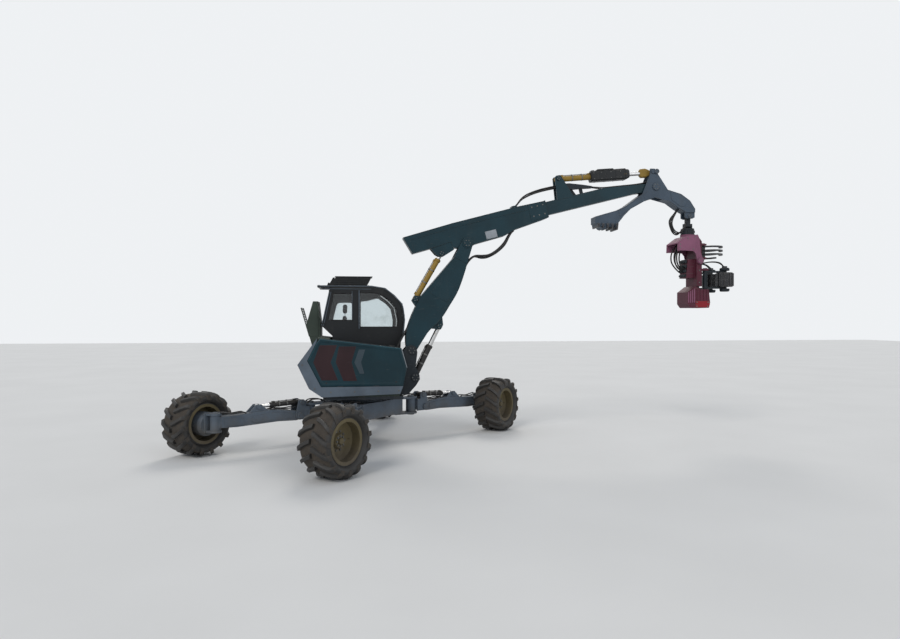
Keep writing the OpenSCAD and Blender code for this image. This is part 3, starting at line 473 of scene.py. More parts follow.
def bolts(name, place, circles, body, head=11.0, rise=9.0):
    """Rings of bolt heads as one piece. A circle is its centre, its direction, its radius and its count."""
    whole = bmesh.new()
    for centre, along, ring, count in circles:
        mesh = grown(bolt_circle, count=count, ring=ring, head=head, rise=rise, material=bolt_zinc)
        mesh.transform(facing(centre, along))
        whole.from_mesh(mesh)
    mesh = bpy.data.meshes.new(name)
    whole.to_mesh(mesh)
    whole.free()
    return piece(mesh, name, place, bolt_zinc, body, sharp=25)


def mirrored(places, half):
    """Single bolts at x and z places, on the faces a half width left and right of the middle."""
    return [((x, s * half, z), (0, s, 0), 0.5, 1) for s in (-1, 1) for x, z in places]


def pin(name):
    return Vector(joints[name]["pos_m"])


# The machine's frame in millimetres: its origin is on the ground under the slewing axis
machine = Matrix.Translation((pin("slew").x, pin("slew").y, 0)) @ Matrix.Scale(0.001, 4)
axle_way = joints["wheel_spin_fl"]["axis"]
yaw = math.atan2(axle_way[1], axle_way[0]) - math.pi / 2
chassis = machine @ Matrix.Rotation(yaw, 4, "Z")
CORNERS = {"rl": (-1, 1), "rr": (-1, -1), "fl": (1, 1), "fr": (1, -1)}
SWING_X, SWING_Y = 950, 550
RING_TOP = 856

ring_flange = Shape()
ring_flange.sweep([(0, 0, RING_TOP), (0, 0, RING_TOP + 16), (0, 0, RING_TOP + 20)], [505, 505, 500], 64)
ring_flange.made("slewing_flange", chassis, leg_steel, "chassis", "leg_steel")
ring_bolts = [((0, 0, RING_TOP + 20), (0, 0, 1), 488, 36)]
pin_bolts = [((sx * SWING_X, sy * SWING_Y, 884), (0, 0, 1), 50, 6) for sx, sy in CORNERS.values()]
bolts("slewing_bolts", chassis, ring_bolts + pin_bolts, "chassis", 9, 8)
caps = Shape()
for sx, sy in CORNERS.values():
    caps.pin_head((sx * SWING_X, sy * SWING_Y, 858), (0, 0, 1), 78, 26)
    caps.pin_head((sx * SWING_X, sy * SWING_Y, 502), (0, 0, -1), 78, 26)
caps.made("swing_pin_caps", chassis, leg_steel, "chassis", "leg_steel")


# Hydraulic hoses: black rubber with a fabric print.
# Each hose is a tube along a smooth curve.
hose_rubber = Finish("hose_rubber", Specular_IOR_Level=0.4)
weave = hose_rubber.noise(90.0, 3.0, 0.6)
hose_rubber.feed(
    Base_Color=hose_rubber.mix((0.010, 0.010, 0.011, 1), (0.075, 0.065, 0.052, 1),
                               0.55 * hose_rubber.step(hose_rubber.noise(4.0, 5.0, 0.6), 0.48, 0.8)),
    Roughness=0.42 + 0.3 * weave, Normal=hose_rubber.bump(weave, 0.0006))


def hoses(name, place, routes, body, radius=15.0, steps=7, bend=None):
    """Hoses along routes of points, as one fixed piece that is taken off its body again. The bend argument
    is not used."""
    tubes = Shape()
    for route in routes:
        tubes.sweep(smooth(route, steps), radius, 10)
    rubber_piece = tubes.made(name, place, hose_rubber.material, body, "cylinder_dark", sharp=60)
    first, last = [place @ Vector(point) for point in bend or (routes[0][0], routes[0][-1])]
    rubber_piece.parent = None
    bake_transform(rubber_piece)


# Legs: box-section arms that swing on upright pins and lift on level ones, each with its lift cylinder.
# Doubler plates are welded to the sides, and caps with bolts keep the pins in.
def leg_frame(tag):
    """The leg's frame in millimetres: x runs outward from the swing pin, z is up from the ground."""
    root, tip = pin("leg_swing_" + tag), pin("steer_" + tag)
    way = Vector((tip.x - root.x, tip.y - root.y, 0)).normalized()
    side = Vector((0, 0, 1)).cross(way)
    turn = Matrix((way, side, (0, 0, 1))).transposed().to_4x4()
    return Matrix.Translation((root.x, root.y, 0)) @ turn @ Matrix.Scale(0.001, 4)


LEG_HOSE = [(130, 82, 802), (190, 84, 826), (300, 84, 812), (520, 82, 786), (700, 82, 800), (820, 80, 796),
            (862, 76, 786)]
KNUCKLE_HOSE = [(1310, 60, 764), (1380, 62, 790), (1560, 66, 776), (1700, 70, 800), (1800, 74, 812)]
SWING_HOSE = [(-300, 55, 858), (-230, 60, 904), (-90, 64, 922), (30, 62, 906), (110, 50, 830), (118, 40, 802)]
LEG_HALF = 100
LONG_DOUBLER = [(400, 600), (700, 600), (1180, 580), (1240, 620), (1200, 700), (800, 735), (430, 700)]
SHORT_DOUBLER = [(1360, 560), (1720, 570), (1740, 700), (1400, 700)]
for tag in CORNERS:
    place = leg_frame(tag)
    doublers = Shape()
    caps = Shape()
    for s in (-1, 1):
        for outline in (LONG_DOUBLER, SHORT_DOUBLER):
            doublers.prism(outline, s * (LEG_HALF - 1), s * (LEG_HALF + 8))
        doublers.pin_head((1080, s * 103, 860), (0, s, 0), 40, 10)
        caps.pin_head((270, s * 149, 640), (0, s, 0), 64, 26)
        caps.pin_head((230, s * 149, 890), (0, s, 0), 48, 20)
    doublers.made("leg_doublers_" + tag, place, leg_steel, "leg_" + tag, "leg_steel", bevel=3)
    caps.made("bracket_caps_" + tag, place, leg_steel, "bracket_" + tag, "leg_steel")
    bolts("bracket_bolts_" + tag, place,
          [((270, s * 175, 640), (0, s, 0), 40, 4) for s in (-1, 1)]
          + [((230, s * 169, 890), (0, s, 0), 28, 4) for s in (-1, 1)], "bracket_" + tag, 8, 7)
    for hose_name, route, from_body, to_body in (
            ("leg_hoses_", LEG_HOSE, "bracket_" + tag, "leg_" + tag),
            ("knuckle_hoses_", KNUCKLE_HOSE, "leg_" + tag, "knuckle_" + tag),
            ("swing_hoses_", SWING_HOSE, "chassis", "bracket_" + tag)):
        hoses(hose_name + tag, place, [[(x, s * y, z) for x, y, z in route] for s in (-1, 1)],
              from_body, 12)


# Wheels: 600 mm flotation tyres with angled forestry lugs on dished rims, caked with mud.
# The tread is one lug, turned round the tyre; its groove mask drives where the mud sits.
tyre_rubber = Finish("tyre_rubber")
crumbs = tyre_rubber.noise(16.0, 6.0, 0.7)
raised = Wire(tyre_rubber, tyre_rubber.tree.nodes.new("ShaderNodeAttribute").outputs["Fac"])
raised.socket.node.attribute_name = "raised"
caked = tyre_rubber.step(crumbs + 0.30 * tyre_rubber.noise(2.5, 3.0) - 0.42 * raised, 0.40, 0.66)
mud_tint = tyre_rubber.mix((0.030, 0.025, 0.021, 1), (0.078, 0.064, 0.050, 1), tyre_rubber.noise(7.0, 4.0))
black_tint = tyre_rubber.mix((0.010, 0.0095, 0.0095, 1), (0.030, 0.028, 0.026, 1),
                             tyre_rubber.noise(5.0, 4.0))
tyre_rubber.feed(Base_Color=tyre_rubber.mix(black_tint, mud_tint, caked), Roughness=0.58 + 0.34 * caked,
                 Normal=tyre_rubber.bump(crumbs * (0.35 + caked), 0.006))
LUGS = 15
CARCASS = [(-222, 337), (-236, 360), (-232, 384), (-262, 402), (-290, 428), (-299, 462), (-292, 492),
           (-262, 520), (-200, 531), (-100, 535), (0, 536)]


def tyre_carcass():
    profile = CARCASS + [(-z, r) for z, r in CARCASS[-2::-1]]
    shape = Shape()
    shape.loft([[(r * math.cos(a), r * math.sin(a), z) for z, r in profile]
                for a in (2 * math.pi * i / 96 for i in range(97))], closed=False, caps=False)
    bmesh.ops.remove_doubles(shape.mesh, verts=shape.mesh.verts, dist=0.01)
    return shape


def lug_mesh():
    """One lug. A section is z, distance round the tyre, top radius, foot radius and half width."""
    sections = [(14, -74, 586, 520, 33), (90, -44, 589, 520, 31), (180, 2, 587, 516, 31),
                (250, 44, 578, 500, 33), (288, 68, 556, 470, 35), (304, 78, 520, 440, 34)]
    shape = Shape()
    rings = []
    for z, around, top, foot, half in sections:
        ring = []
        for r, w in ((foot, half + 9), (top - 7, half), (top, half - 6), (top, 6 - half), (top - 7, -half),
                     (foot, -half - 9)):
            a = (around + w) / r
            ring.append((r * math.cos(a), r * math.sin(a), z))
        rings.append(ring)
    shape.loft(rings)
    bmesh.ops.recalc_face_normals(shape.mesh, faces=shape.mesh.faces)
    return shape


def with_mask(shape, name, level):
    """Ends a shape as a mesh that carries the mud mask: 1 on what stands proud, 0 in the grooves."""
    mesh = bpy.data.meshes.new(name)
    shape.mesh.to_mesh(mesh)
    shape.mesh.free()
    mask = mesh.attributes.new("raised", "FLOAT", "POINT")
    mask.data.foreach_set("value", [level(vertex.co) for vertex in mesh.vertices])
    return mesh


lug_top = with_mask(lug_mesh(), "lug", lambda p: 1.0 if math.hypot(p.x, p.y) > 550 else 0.2)
lug = bpy.data.objects.new("lug", lug_top)
bpy.context.scene.collection.objects.link(lug)
tread, (lug_in, count, paint) = geometry_tree("tread", lug="Object", count="Int", material="Material")
shape_in = tread.node("GeometryNodeObjectInfo", {}, {"Object": lug_in}, "Geometry")
pitch = 2 * math.pi / count
index = tread.node("GeometryNodeInputIndex")
around = tread.node("ShaderNodeCombineXYZ", {}, {"Z": index * pitch})
spots = tread.node("GeometryNodePoints", {}, {"Count": count})
half_tread = tread.node("GeometryNodeInstanceOnPoints", {},
                        {"Points": spots, "Instance": shape_in, "Rotation": around})
other_turn = tread.node("ShaderNodeCombineXYZ", {}, {"Z": pitch * 0.5})
real_half = tread.node("GeometryNodeRealizeInstances", {}, {0: half_tread})
flipped = tread.node("GeometryNodeFlipFaces", {}, {0: real_half})
other_half = tread.node("GeometryNodeTransform", {},
                        {"Geometry": flipped, "Rotation": other_turn, "Scale": (1.0, 1.0, -1.0)})
end_tree(tread, joined(tread, half_tread, other_half), paint)


def wheel_frame(tag):
    """The wheel's frame in millimetres: z points out from the chassis along the axle."""
    hub, king = pin("wheel_spin_" + tag), pin("steer_" + tag)
    way = Vector((hub.x - king.x, hub.y - king.y, 0)).normalized()
    return Matrix.Translation(hub) @ way.to_track_quat("Z", "Y").to_matrix().to_4x4() @ Matrix.Scale(0.001, 4)


lugs_mesh = grown(tread, lug=lug, count=LUGS, material=tyre_rubber.material)
carcass_mesh = with_mask(tyre_carcass(), "carcass", lambda p: 0.75 if math.hypot(p.x, p.y) < 500 else 0.0)
bpy.data.objects.remove(lug)
for tag in CORNERS:
    place = wheel_frame(tag)
    whole = bmesh.new()
    whole.from_mesh(carcass_mesh)
    bmesh.ops.recalc_face_normals(whole, faces=whole.faces)
    whole.from_mesh(lugs_mesh)
    tyre_mesh = bpy.data.meshes.new("forest_tyre_" + tag)
    whole.to_mesh(tyre_mesh)
    whole.free()
    tyre = piece(tyre_mesh, "forest_tyre_" + tag, place, tyre_rubber.material, "wheel_" + tag,
                 sharp=38)
    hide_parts("tyre_" + tag)
    bolts("wheel_nuts_" + tag, place, [((0, 0, 50), (0, 0, 1), 153, 10), ((0, 0, 100), (0, 0, 1), 78, 8)],
          "wheel_" + tag, 15, 16)
    hub_cap = Shape()
    hub_cap.sweep([(0, 0, 98), (0, 0, 128), (0, 0, 136)], [54, 52, 42], 32)
    hub_cap.sweep([(232, 0, 40), (238, 0, 92)], 7, 10)
    hub_cap.made("hub_cap_" + tag, place, rim_mud, "wheel_" + tag, "rim_mud")


# Upper part: moulded covers with worn, rolled rims over the engine and the tank, their top rims a lighter
# petrol as a painted highlight, a grey strip round their foot, and painted chevrons. The left cover and the
# hood have louvres, and the covers have latches and hinges.
BODY_HALF, COVER_IN = 1000, 957
SIDE_FACE = BODY_HALF - 5
COVER = [(-781, 1216), (776, 1216), (847, 1565), (738, 1951), (-800, 2142), (-870, 2062), (-1040, 1716)]
LEFT_COVER = [(-781, 1216), (-560, 1216), (-560, 2112), (-800, 2142), (-870, 2062), (-1040, 1716)]


def inset(outline, d):
    """An outline whose every edge lies a distance inside the old one."""
    points = [Vector(p) for p in outline]
    area = sum(a.x * b.y - b.x * a.y for a, b in zip(points, points[1:] + points[:1]))
    turn = 1 if area > 0 else -1
    found = []
    for before, here, after in zip(points[-1:] + points, points, points[1:] + points[:1]):
        e, f = (here - before).normalized(), (after - here).normalized()
        n, m = Vector((-e.y, e.x)) * turn, Vector((-f.y, f.x)) * turn
        found.append(here + (n + m) * (d / (1 + n.dot(m))))
    return [(p.x, p.y) for p in found]


# The cover's rolled rim: how far in from its outline, and how far out from the middle
RIM_LEVELS = [(0, COVER_IN), (0, BODY_HALF - 14), (4, BODY_HALF - 6), (13, BODY_HALF - 1.5), (30, BODY_HALF),
              (58, BODY_HALF), (66, BODY_HALF - 4), (78, SIDE_FACE)]
panels = Shape()
for outline, side in ((COVER, -1), (LEFT_COVER, 1)):
    panels.loft([[(x, side * y, z) for x, z in inset(outline, d)] for d, y in RIM_LEVELS])
covers = panels.made("moulded_covers", machine, petrol, "upper", "green", sharp=50)
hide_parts("side_covers")

# Each band of a chevron: its top edge, its apex and its foot, as x pairs with their heights
BANDS = [("maroon", [(-807, -482, 2012), (-926, -601, 1686), (-772, -464, 1344)]),
         ("maroon", [(-447, -122, 1986), (-507, -208, 1686), (-362, -105, 1327)]),
         ("pale", [(-71, 49, 1926), (-156, -28, 1678), (-54, 32, 1464)])]
maroon = worn_paint("maroon_band", (0.030, 0.013, 0.016, 1), (0.07, 0.065, 0.065, 1), rough=0.34, wear=0.5,
                    dust=0.2)
pale = worn_paint("pale_band", (0.050, 0.074, 0.092, 1), (0.07, 0.07, 0.07, 1), rough=0.36, wear=0.6,
                  dust=0.2)
off_white = worn_paint("off_white", (0.32, 0.35, 0.38, 1), (0.12, 0.11, 0.10, 1), rough=0.4, wear=0.6,
                       dust=0.4)
for paint_name, paint_coat, slot in (("maroon", maroon, "head_red"), ("pale", pale, "grey_strip")):
    bands = Shape()
    for name, rows in BANDS:
        if name == paint_name:
            loop = [(a, z) for a, b, z in rows] + [(b, z) for a, b, z in reversed(rows)]
            bands.prism(loop, 0.4 - SIDE_FACE, -0.9 - SIDE_FACE)
    bands.made(paint_name + "_chevrons", machine, paint_coat, "upper", slot)

# Louvres, as a row of slats: each is a flat box, turned about its length
louvres, (count, step, length, height, tilt, paint) = geometry_tree(
    "louvres", count="Int", step="Float", length="Float", height="Float", tilt="Float", material="Material")
slat_size = louvres.node("ShaderNodeCombineXYZ", {}, {"X": length, "Y": 3.0, "Z": height})
slat = louvres.node("GeometryNodeMeshCube", {}, {"Size": slat_size})
slat_turn = louvres.node("ShaderNodeCombineXYZ", {}, {"X": tilt})
slat = louvres.node("GeometryNodeTransform", {}, {"Geometry": slat, "Rotation": slat_turn})
slat_step = louvres.node("ShaderNodeCombineXYZ", {}, {"Z": step})
slat_line = louvres.node("GeometryNodeMeshLine", {}, {"Count": count, "Offset": slat_step})
slats = louvres.node("GeometryNodeInstanceOnPoints", {}, {"Points": slat_line, "Instance": slat})
end_tree(louvres, slats, paint)


def louvre_panel(name, place, lowest, length, count, step, material, body, height=26.0, tilt=0.7):
    """A column of slats in a frame. lowest is the middle of its lowest slat, and y points outward."""
    mesh = grown(louvres, count=count, step=step, length=length, height=height, tilt=tilt, material=material)
    mesh.transform(Matrix.Translation(Vector(lowest)))
    whole = bmesh.new()
    whole.from_mesh(mesh)
    edge = Shape()
    x, y, z = lowest
    half, low, high = length / 2, z - step, z + count * step
    for a, b in (((x - half - 14, low), (x - half, high)), ((x + half, low), (x + half + 14, high)),
                 ((x - half, low), (x + half, low + 10)), ((x - half, high - 10), (x + half, high))):
        edge.box((a[0], y - 9, a[1]), (b[0], y + 9, b[1]))
    rim_mesh = bpy.data.meshes.new(name + "_rim")
    edge.mesh.to_mesh(rim_mesh)
    edge.mesh.free()
    whole.from_mesh(rim_mesh)
    bmesh.ops.recalc_face_normals(whole, faces=whole.faces)
    made = bpy.data.meshes.new(name)
    whole.to_mesh(made)
    whole.free()
    return piece(made, name, place, material, body)


louvre_panel("left_cover_louvres", machine, (-740, 993, 1420), 250, 16, 34, petrol, "upper")
rear_face = machine @ Matrix.Translation((-1076, 480, 2150)) @ Matrix.Rotation(math.radians(-16), 4, "Y") \
    @ Matrix.Rotation(math.radians(90), 4, "Z")
louvre_panel("hood_louvres", rear_face, (0, 4, 40), 620, 16, 36, olive, "upper")
hood_side = Shape()
for side, at in ((-1, 60), (1, 900)):
    hood_side.prism([(-1080, 2150), (-1105, 2380), (-1000, 2820), (-930, 2820), (-885, 2400), (-885, 2170)],
                    at, at + side * 6)
hood_side.made("hood_side_panels", machine, olive, "upper", "olive", bevel=3)

fittings = Shape()
for x, z in ((640, 1300), (-680, 1290)):
    fittings.pin_head((x, -994, z), (0, -1, 0), 17, 5)
for x in (-420, 260):
    fittings.box((x - 55, -1000, 1218), (x + 55, -990, 1232))
for z in (1400, 1900):
    fittings.pin_head((-600, 994, z), (0, 1, 0), 17, 5)
fittings.made("cover_latches", machine, frame_dark, "upper", "frame_dark")
# The covers' top rims are painted a lighter petrol than the covers: a painted highlight, the sky's reflection
# along their rounded top edge.
petrol_rim = worn_paint("petrol_rim", (0.014, 0.062, 0.082, 1), rough=0.30, wear=0.5, dust=0.25)
top_rim = Shape()
for outline, side in ((COVER, -1), (LEFT_COVER, 1)):
    top = inset(outline, 20)[:-5:-1]
    top_rim.sweep([(x, side * (SIDE_FACE - 1), z) for x, z in top], 12, 12)
top_rim.made("cover_top_rims", machine, petrol_rim, "upper", "green")
front_edge = Shape()
front_edge.sweep([(742, -990, 1946), (792, -990, 1772), (849, -990, 1570)], 7, 10)
front_edge.made("cover_front_edge", machine, off_white, "upper", "grey_strip")
deck = Shape()
deck.prism([(-560, 2106), (660, 1953), (660, 1957), (-560, 2110)], -940, -650)
deck.pin_head((560, -780, 1968), (0.12, 0, 1), 62, 22)
deck.made("deck_plate", machine, frame_dark, "upper", "frame_dark")
STRIP_BOLTS = [(-900, 1190), (-600, 1115), (-150, 1120), (300, 1125), (690, 1130), (-1130, 1640)]
bolts("strip_bolts", machine, mirrored(STRIP_BOLTS, BODY_HALF), "upper", 12, 8)


# Cab: a rounded shell with rubber seals round its panes, a guard of bent tubes over the windscreen,
# and a box on the roof. Inside are the sprung seat, its consoles and the visor.
CAB_RIGHT, CAB_LEFT, CAB_WALL = -150, 930, 40
FRONT_WINDOW = [(-85, 2340), (725, 2340), (740, 2500), (695, 2755), (570, 2895), (400, 3020), (190, 3060),
                (-85, 3060)]
REAR_WINDOW = [(-700, 2480), (-190, 2480), (-190, 3040), (-590, 3040)]
DOOR_WINDOW = [(-40, 2060), (665, 2060), (690, 2480), (640, 2735), (530, 2855), (370, 2965), (180, 3000),
               (-40, 3000)]
DOOR_LOW = [(-30, 1480), (610, 1480), (645, 1940), (-30, 1940)]
rubber_seal = Finish("rubber_seal", Specular_IOR_Level=0.3)
rubber_seal.feed(
    Base_Color=rubber_seal.mix((0.008, 0.008, 0.009, 1), (0.05, 0.046, 0.04, 1),
                               0.5 * rubber_seal.step(rubber_seal.noise(7.0, 4.0), 0.5, 0.8)),
    Roughness=0.5 + 0.3 * rubber_seal.noise(30.0))


def seal(shape, outline, y0, y1, width=16):
    """A ring of rubber inside an opening's edge."""
    inner = inset(outline, width)
    rings = [[(a[0], y0, a[1]), (a[0], y1, a[1]), (b[0], y1, b[1]), (b[0], y0, b[1])]
             for a, b in zip(outline, inner)]
    shape.loft(rings + rings[:1], caps=False)
    bmesh.ops.remove_doubles(shape.mesh, verts=shape.mesh.verts, dist=0.01)


seals = Shape()
for opening in (FRONT_WINDOW, REAR_WINDOW):
    seal(seals, opening, CAB_RIGHT - 3, CAB_RIGHT + CAB_WALL - 1)
seal(seals, REAR_WINDOW, CAB_LEFT - CAB_WALL + 1, CAB_LEFT + 3)
seals.made("window_seals", machine, rubber_seal.material, "upper", "cab_black", bevel=2)
seals = Shape()
for opening in (DOOR_WINDOW, DOOR_LOW):
    seal(seals, opening, CAB_LEFT - CAB_WALL + 1, CAB_LEFT + 3)
seals.made("door_seals", machine, rubber_seal.material, "door", "cab_black", bevel=2)
handle = Shape()
handle_bow = [(560, 931), (560, 962), (590, 966), (625, 962), (625, 931)]
handle.sweep(smooth([(x, y, 1990) for x, y in handle_bow], 4), 8, 10)
handle.box((545, 929, 1965), (642, 937, 2015))
handle.made("door_handle", machine, cab_black, "door", "cab_black", bevel=2)

# The guard: bars along y over the bent bands, one profile swept along each bar's curve
guard_tube, (curve_in, count, step, radius, paint) = geometry_tree(
    "guard_tube", curve="Object", count="Int", step="Float", radius="Float", material="Material")
tube_path = guard_tube.node("GeometryNodeObjectInfo", {}, {"Object": curve_in}, "Geometry")
tube_round = guard_tube.node("GeometryNodeCurvePrimitiveCircle", {}, {"Resolution": 10, "Radius": radius})
tube = guard_tube.node("GeometryNodeCurveToMesh", {}, {"Curve": tube_path, "Profile Curve": tube_round,
                                                       "Fill Caps": True})
tube_step = guard_tube.node("ShaderNodeCombineXYZ", {}, {"Y": step})
tube_line = guard_tube.node("GeometryNodeMeshLine", {}, {"Count": count, "Offset": tube_step})
tube_row = guard_tube.node("GeometryNodeInstanceOnPoints", {}, {"Points": tube_line, "Instance": tube})
end_tree(guard_tube, tube_row, paint)


def path_object(points):
    """A poly curve through points, for a geometry tree to sweep."""
    curve = bpy.data.curves.new("path", "CURVE")
    curve.dimensions = "3D"
    line = curve.splines.new("POLY")
    line.points.add(len(points) - 1)
    for spot, point in zip(line.points, points):
        spot.co = (*point, 1.0)
    made = bpy.data.objects.new("path", curve)
    bpy.context.scene.collection.objects.link(made)
    return made


GUARD_PATH = [(160, 3172), (300, 3162), (455, 3122), (560, 3052), (642, 2985), (735, 2890), (800, 2813),
              (838, 2650), (850, 2500), (838, 2320), (822, 2165)]
GUARD_BARS, GUARD_PITCH = 10, 96
path = path_object(smooth([(x, CAB_RIGHT + 108, z) for x, z in GUARD_PATH], 3))
tubes = grown(guard_tube, curve=path, count=GUARD_BARS, step=GUARD_PITCH, radius=10.0, material=cab_black)
bpy.data.objects.remove(path)
piece(tubes, "guard_tubes", machine, cab_black, "upper", sharp=50)
roof_bolts = [((x, y, 3192), (0, 0, 1), 0.5, 1) for x in (-868, 122) for y in (-130, 130, 910)]
foot_bolts = [((858, y, 2180), (1, 0, 0), 0.5, 1) for y in (-130, 130, 910)]
bolts("guard_bolts", machine, roof_bolts + foot_bolts, "upper", 11, 8)

roof_box = Shape()
for z in (3232, 3270, 3308, 3346):
    shift = (z - 3191) * 0.52
    slat_side = [(-600 + shift, z), (40 + shift, z), (46 + shift, z + 14), (-594 + shift, z + 14)]
    for y in (153, 660):
        roof_box.prism(slat_side, y, y + 7)
roof_box.prism([(-560, 3386), (212, 3386), (216, 3398), (-556, 3398)], 148, 672)
for y in (180, 628):
    roof_box.prism([(-700, 3196), (-640, 3192), (-560, 3370), (-600, 3374)], y, y + 12)
roof_box.prism([(-730, 3192), (-700, 3192), (-672, 3262), (-700, 3268)], 200, 300)
roof_box.made("roof_box_trim", machine, cab_black, "upper", "cab_black", bevel=2)

posts = Shape()
posts.sweep([(-812, CAB_RIGHT - 9, 2379), (-655, CAB_RIGHT - 9, 3100)], 9, 10)
posts.sweep([(-776, CAB_RIGHT - 9, 2372), (-624, CAB_RIGHT - 9, 3072)], 7, 10)
posts.made("rear_post_rails", machine, grey_strip, "upper", "grey_strip")
clamps = Shape()
for z, x in ((2420, -790), (3080, -650)):
    clamps.box((x - 22, CAB_RIGHT - 20, z - 14), (x + 60, CAB_RIGHT, z + 14))
for z in (2318, 3086):
    clamps.box((-82, CAB_RIGHT - 22, z - 12), (-46, CAB_RIGHT, z + 12))
clamps.made("rail_clamps", machine, cab_black, "upper", "cab_black", bevel=2)
rails = Shape()
rails.sweep([(-64, CAB_RIGHT - 15, 2306), (-64, CAB_RIGHT - 15, 3098)], 10, 12)
rails.sweep([(-205, CAB_RIGHT - 7, 2500), (-205, CAB_RIGHT - 7, 3080)], 6, 10)
# The roof rails are pale grey tubes along the edges of the black guard band: their pale is partly worn bare
# edges and partly a painted highlight on the guard's black tubes.
ROOF_RAIL = [(-896, 3176), (-400, 3178), (186, 3176), (330, 3152), (458, 3130), (640, 2992), (804, 2816),
             (845, 2660), (860, 2500), (844, 2330), (828, 2170)]
for y in (CAB_RIGHT - 3, CAB_LEFT + 3):
    rails.sweep(smooth([(x, y, z) for x, z in ROOF_RAIL], 3), 9, 10)
rails.sweep([(-800, CAB_RIGHT - 4, 3120), (-400, CAB_RIGHT - 4, 3122), (180, CAB_RIGHT - 4, 3118)], 6, 10)
rails.made("guard_rails", machine, grey_strip, "upper", "grey_strip")

visor = Shape()
for outline in ([(-60, 2885), (-60, 3050), (180, 3056), (390, 3012), (330, 2960), (120, 2905)],
                [(-60, 2800), (-40, 2800), (-40, 2890), (-60, 2890)]):
    visor.prism(outline, CAB_RIGHT + 60, CAB_LEFT - 60)
lining = worn_paint("cab_lining", (0.018, 0.019, 0.021, 1), rough=0.6, wear=0.1, dust=0.2)
visor.made("roof_lining", machine, lining, "upper", "cab_black", bevel=6)
TOP_BLIND = [(-600, 3048), (-185, 3048), (-185, 2806), (-206, 2848), (-250, 2864), (-480, 2862), (-522, 2846),
             (-548, 2800)]
REAR_BLIND = [(-712, 2478), (-600, 3048), (-548, 2800), (-628, 2478)]
blinds = Shape()
for y in (CAB_RIGHT + 54, CAB_LEFT - 66):
    for outline in (TOP_BLIND, REAR_BLIND):
        blinds.prism(outline, y, y + 12)
blinds.made("rear_window_blinds", machine, lining, "upper", "cab_black")

# The seat: sewn cushions that swell between their seams, on a sprung pedestal with a bellows.
# Consoles with armrests and joysticks stand on both sides, and a display on the right one.
seat_cloth = Finish("seat_cloth")
threads = seat_cloth.node("ShaderNodeTexWave", {"wave_type": "BANDS", "bands_direction": "DIAGONAL"},
                          {"Vector": seat_cloth.place, "Scale": 160.0, "Distortion": 1.5, "Detail": 2.0},
                          "Fac")
faded = threads * 0.5 + 0.4 * seat_cloth.noise(5.0, 4.0)
seat_cloth.feed(
    Base_Color=seat_cloth.mix((0.011, 0.011, 0.013, 1), (0.045, 0.045, 0.05, 1), faded),
    Roughness=0.75 + 0.2 * threads, Normal=seat_cloth.bump(threads, 0.0008))
SEAT_Y = 390
CLOTH_CELL, CLOTH_STEPS, SEAM_DEPTH = 0.009, 20, 0.007
seat_place = machine @ Matrix.Translation((0, SEAT_Y, 0))


def cushion(name, outline, half, swell, channels=()):
    """A padded piece: a rounded block, inflated by the cloth solver, with sewn channels drawn in."""
    block_shape = Shape()
    block_shape.prism(inset(outline, 9), -half + 9, half - 9)
    made = block_shape.made(name, seat_place, seat_cloth.material, "upper", "seat_cloth")
    world_place = made.matrix_world.copy()
    made.parent = None
    made.matrix_world = world_place
    remesh = made.modifiers.new("even", "REMESH")
    remesh.mode, remesh.voxel_size = "VOXEL", CLOTH_CELL
    shown = made.evaluated_get(bpy.context.evaluated_depsgraph_get())
    made.modifiers.clear()
    mesh = bpy.data.meshes.new_from_object(shown)
    made.data = mesh
    start = [vertex.co.copy() for vertex in mesh.vertices]
    cloth = made.modifiers.new("swell", "CLOTH")
    cloth.settings.use_pressure = True
    cloth.settings.uniform_pressure_force = 4.0
    cloth.settings.effector_weights.gravity = 0.0
    cloth.settings.mass = 0.3
    scene = bpy.context.scene
    for step_number in range(1, CLOTH_STEPS + 1):
        scene.frame_set(step_number)
    shown = made.evaluated_get(bpy.context.evaluated_depsgraph_get())
    swollen = [vertex.co.copy() for vertex in shown.data.vertices]
    made.modifiers.clear()
    scene.frame_set(1)
    for vertex, old, new in zip(mesh.vertices, start, swollen):
        move = new - old
        if move.length > swell / 1000:
            move *= swell / 1000 / move.length
        vertex.co = old + move
    place = seat_place.inverted()
    for vertex in mesh.vertices:
        at = place @ vertex.co
        for (x, z), way, reach in channels:
            far = abs((at.x - x) * way[0] + (at.z - z) * way[1])
            if far < reach:
                vertex.co -= vertex.normal * (SEAM_DEPTH * (1 - far / reach) ** 2)
    mesh.shade_smooth()
    mesh.materials.clear()
    mesh.materials.append(seat_cloth.material)
    finer = made.modifiers.new("finer", "SUBSURF")
    finer.levels = finer.render_levels = 1
    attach(made, "upper")
    return made


SEAT_PAN = [(-345, 1563), (165, 1563), (170, 1600), (150, 1680), (90, 1688), (-345, 1684)]
SEAT_BACK = [(-345, 1694), (-236, 1694), (-258, 1900), (-330, 2374), (-318, 2590), (-395, 2590), (-425, 2374)]
pan_seams = [((x, 1690), (1, 0), 16) for x in (20, -110, -240)]
back_seams = [((-300, z), (0, 1), 16) for z in (1830, 1960, 2090, 2220, 2390)]
seat_pan = cushion("seat_cushion", SEAT_PAN, 245, 12, pan_seams)
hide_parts("seat")
cushion("seat_back", SEAT_BACK, 235, 12, back_seams)
cushion("head_rest", [(-406, 2622), (-316, 2622), (-308, 2818), (-398, 2818)], 115, 9)
pedestal = Shape()
pedestal.box((-300, -190, 1266), (30, 190, 1330))
for z in range(1340, 1540, 25):
    grow = 0 if (z // 25) % 2 else 14
    pedestal.box((-290 - grow, -180 - grow, z), (20 + grow, 180 + grow, z + 22))
pedestal.box((-325, -198, 1540), (55, 198, 1559))
pedestal.made("seat_pedestal", seat_place, rubber_seal.material, "upper", "cab_black", bevel=6)
head_posts = Shape()
for y in (-45, 45):
    head_posts.sweep([(-360, y, 2560), (-358, y, 2640)], 7, 10)
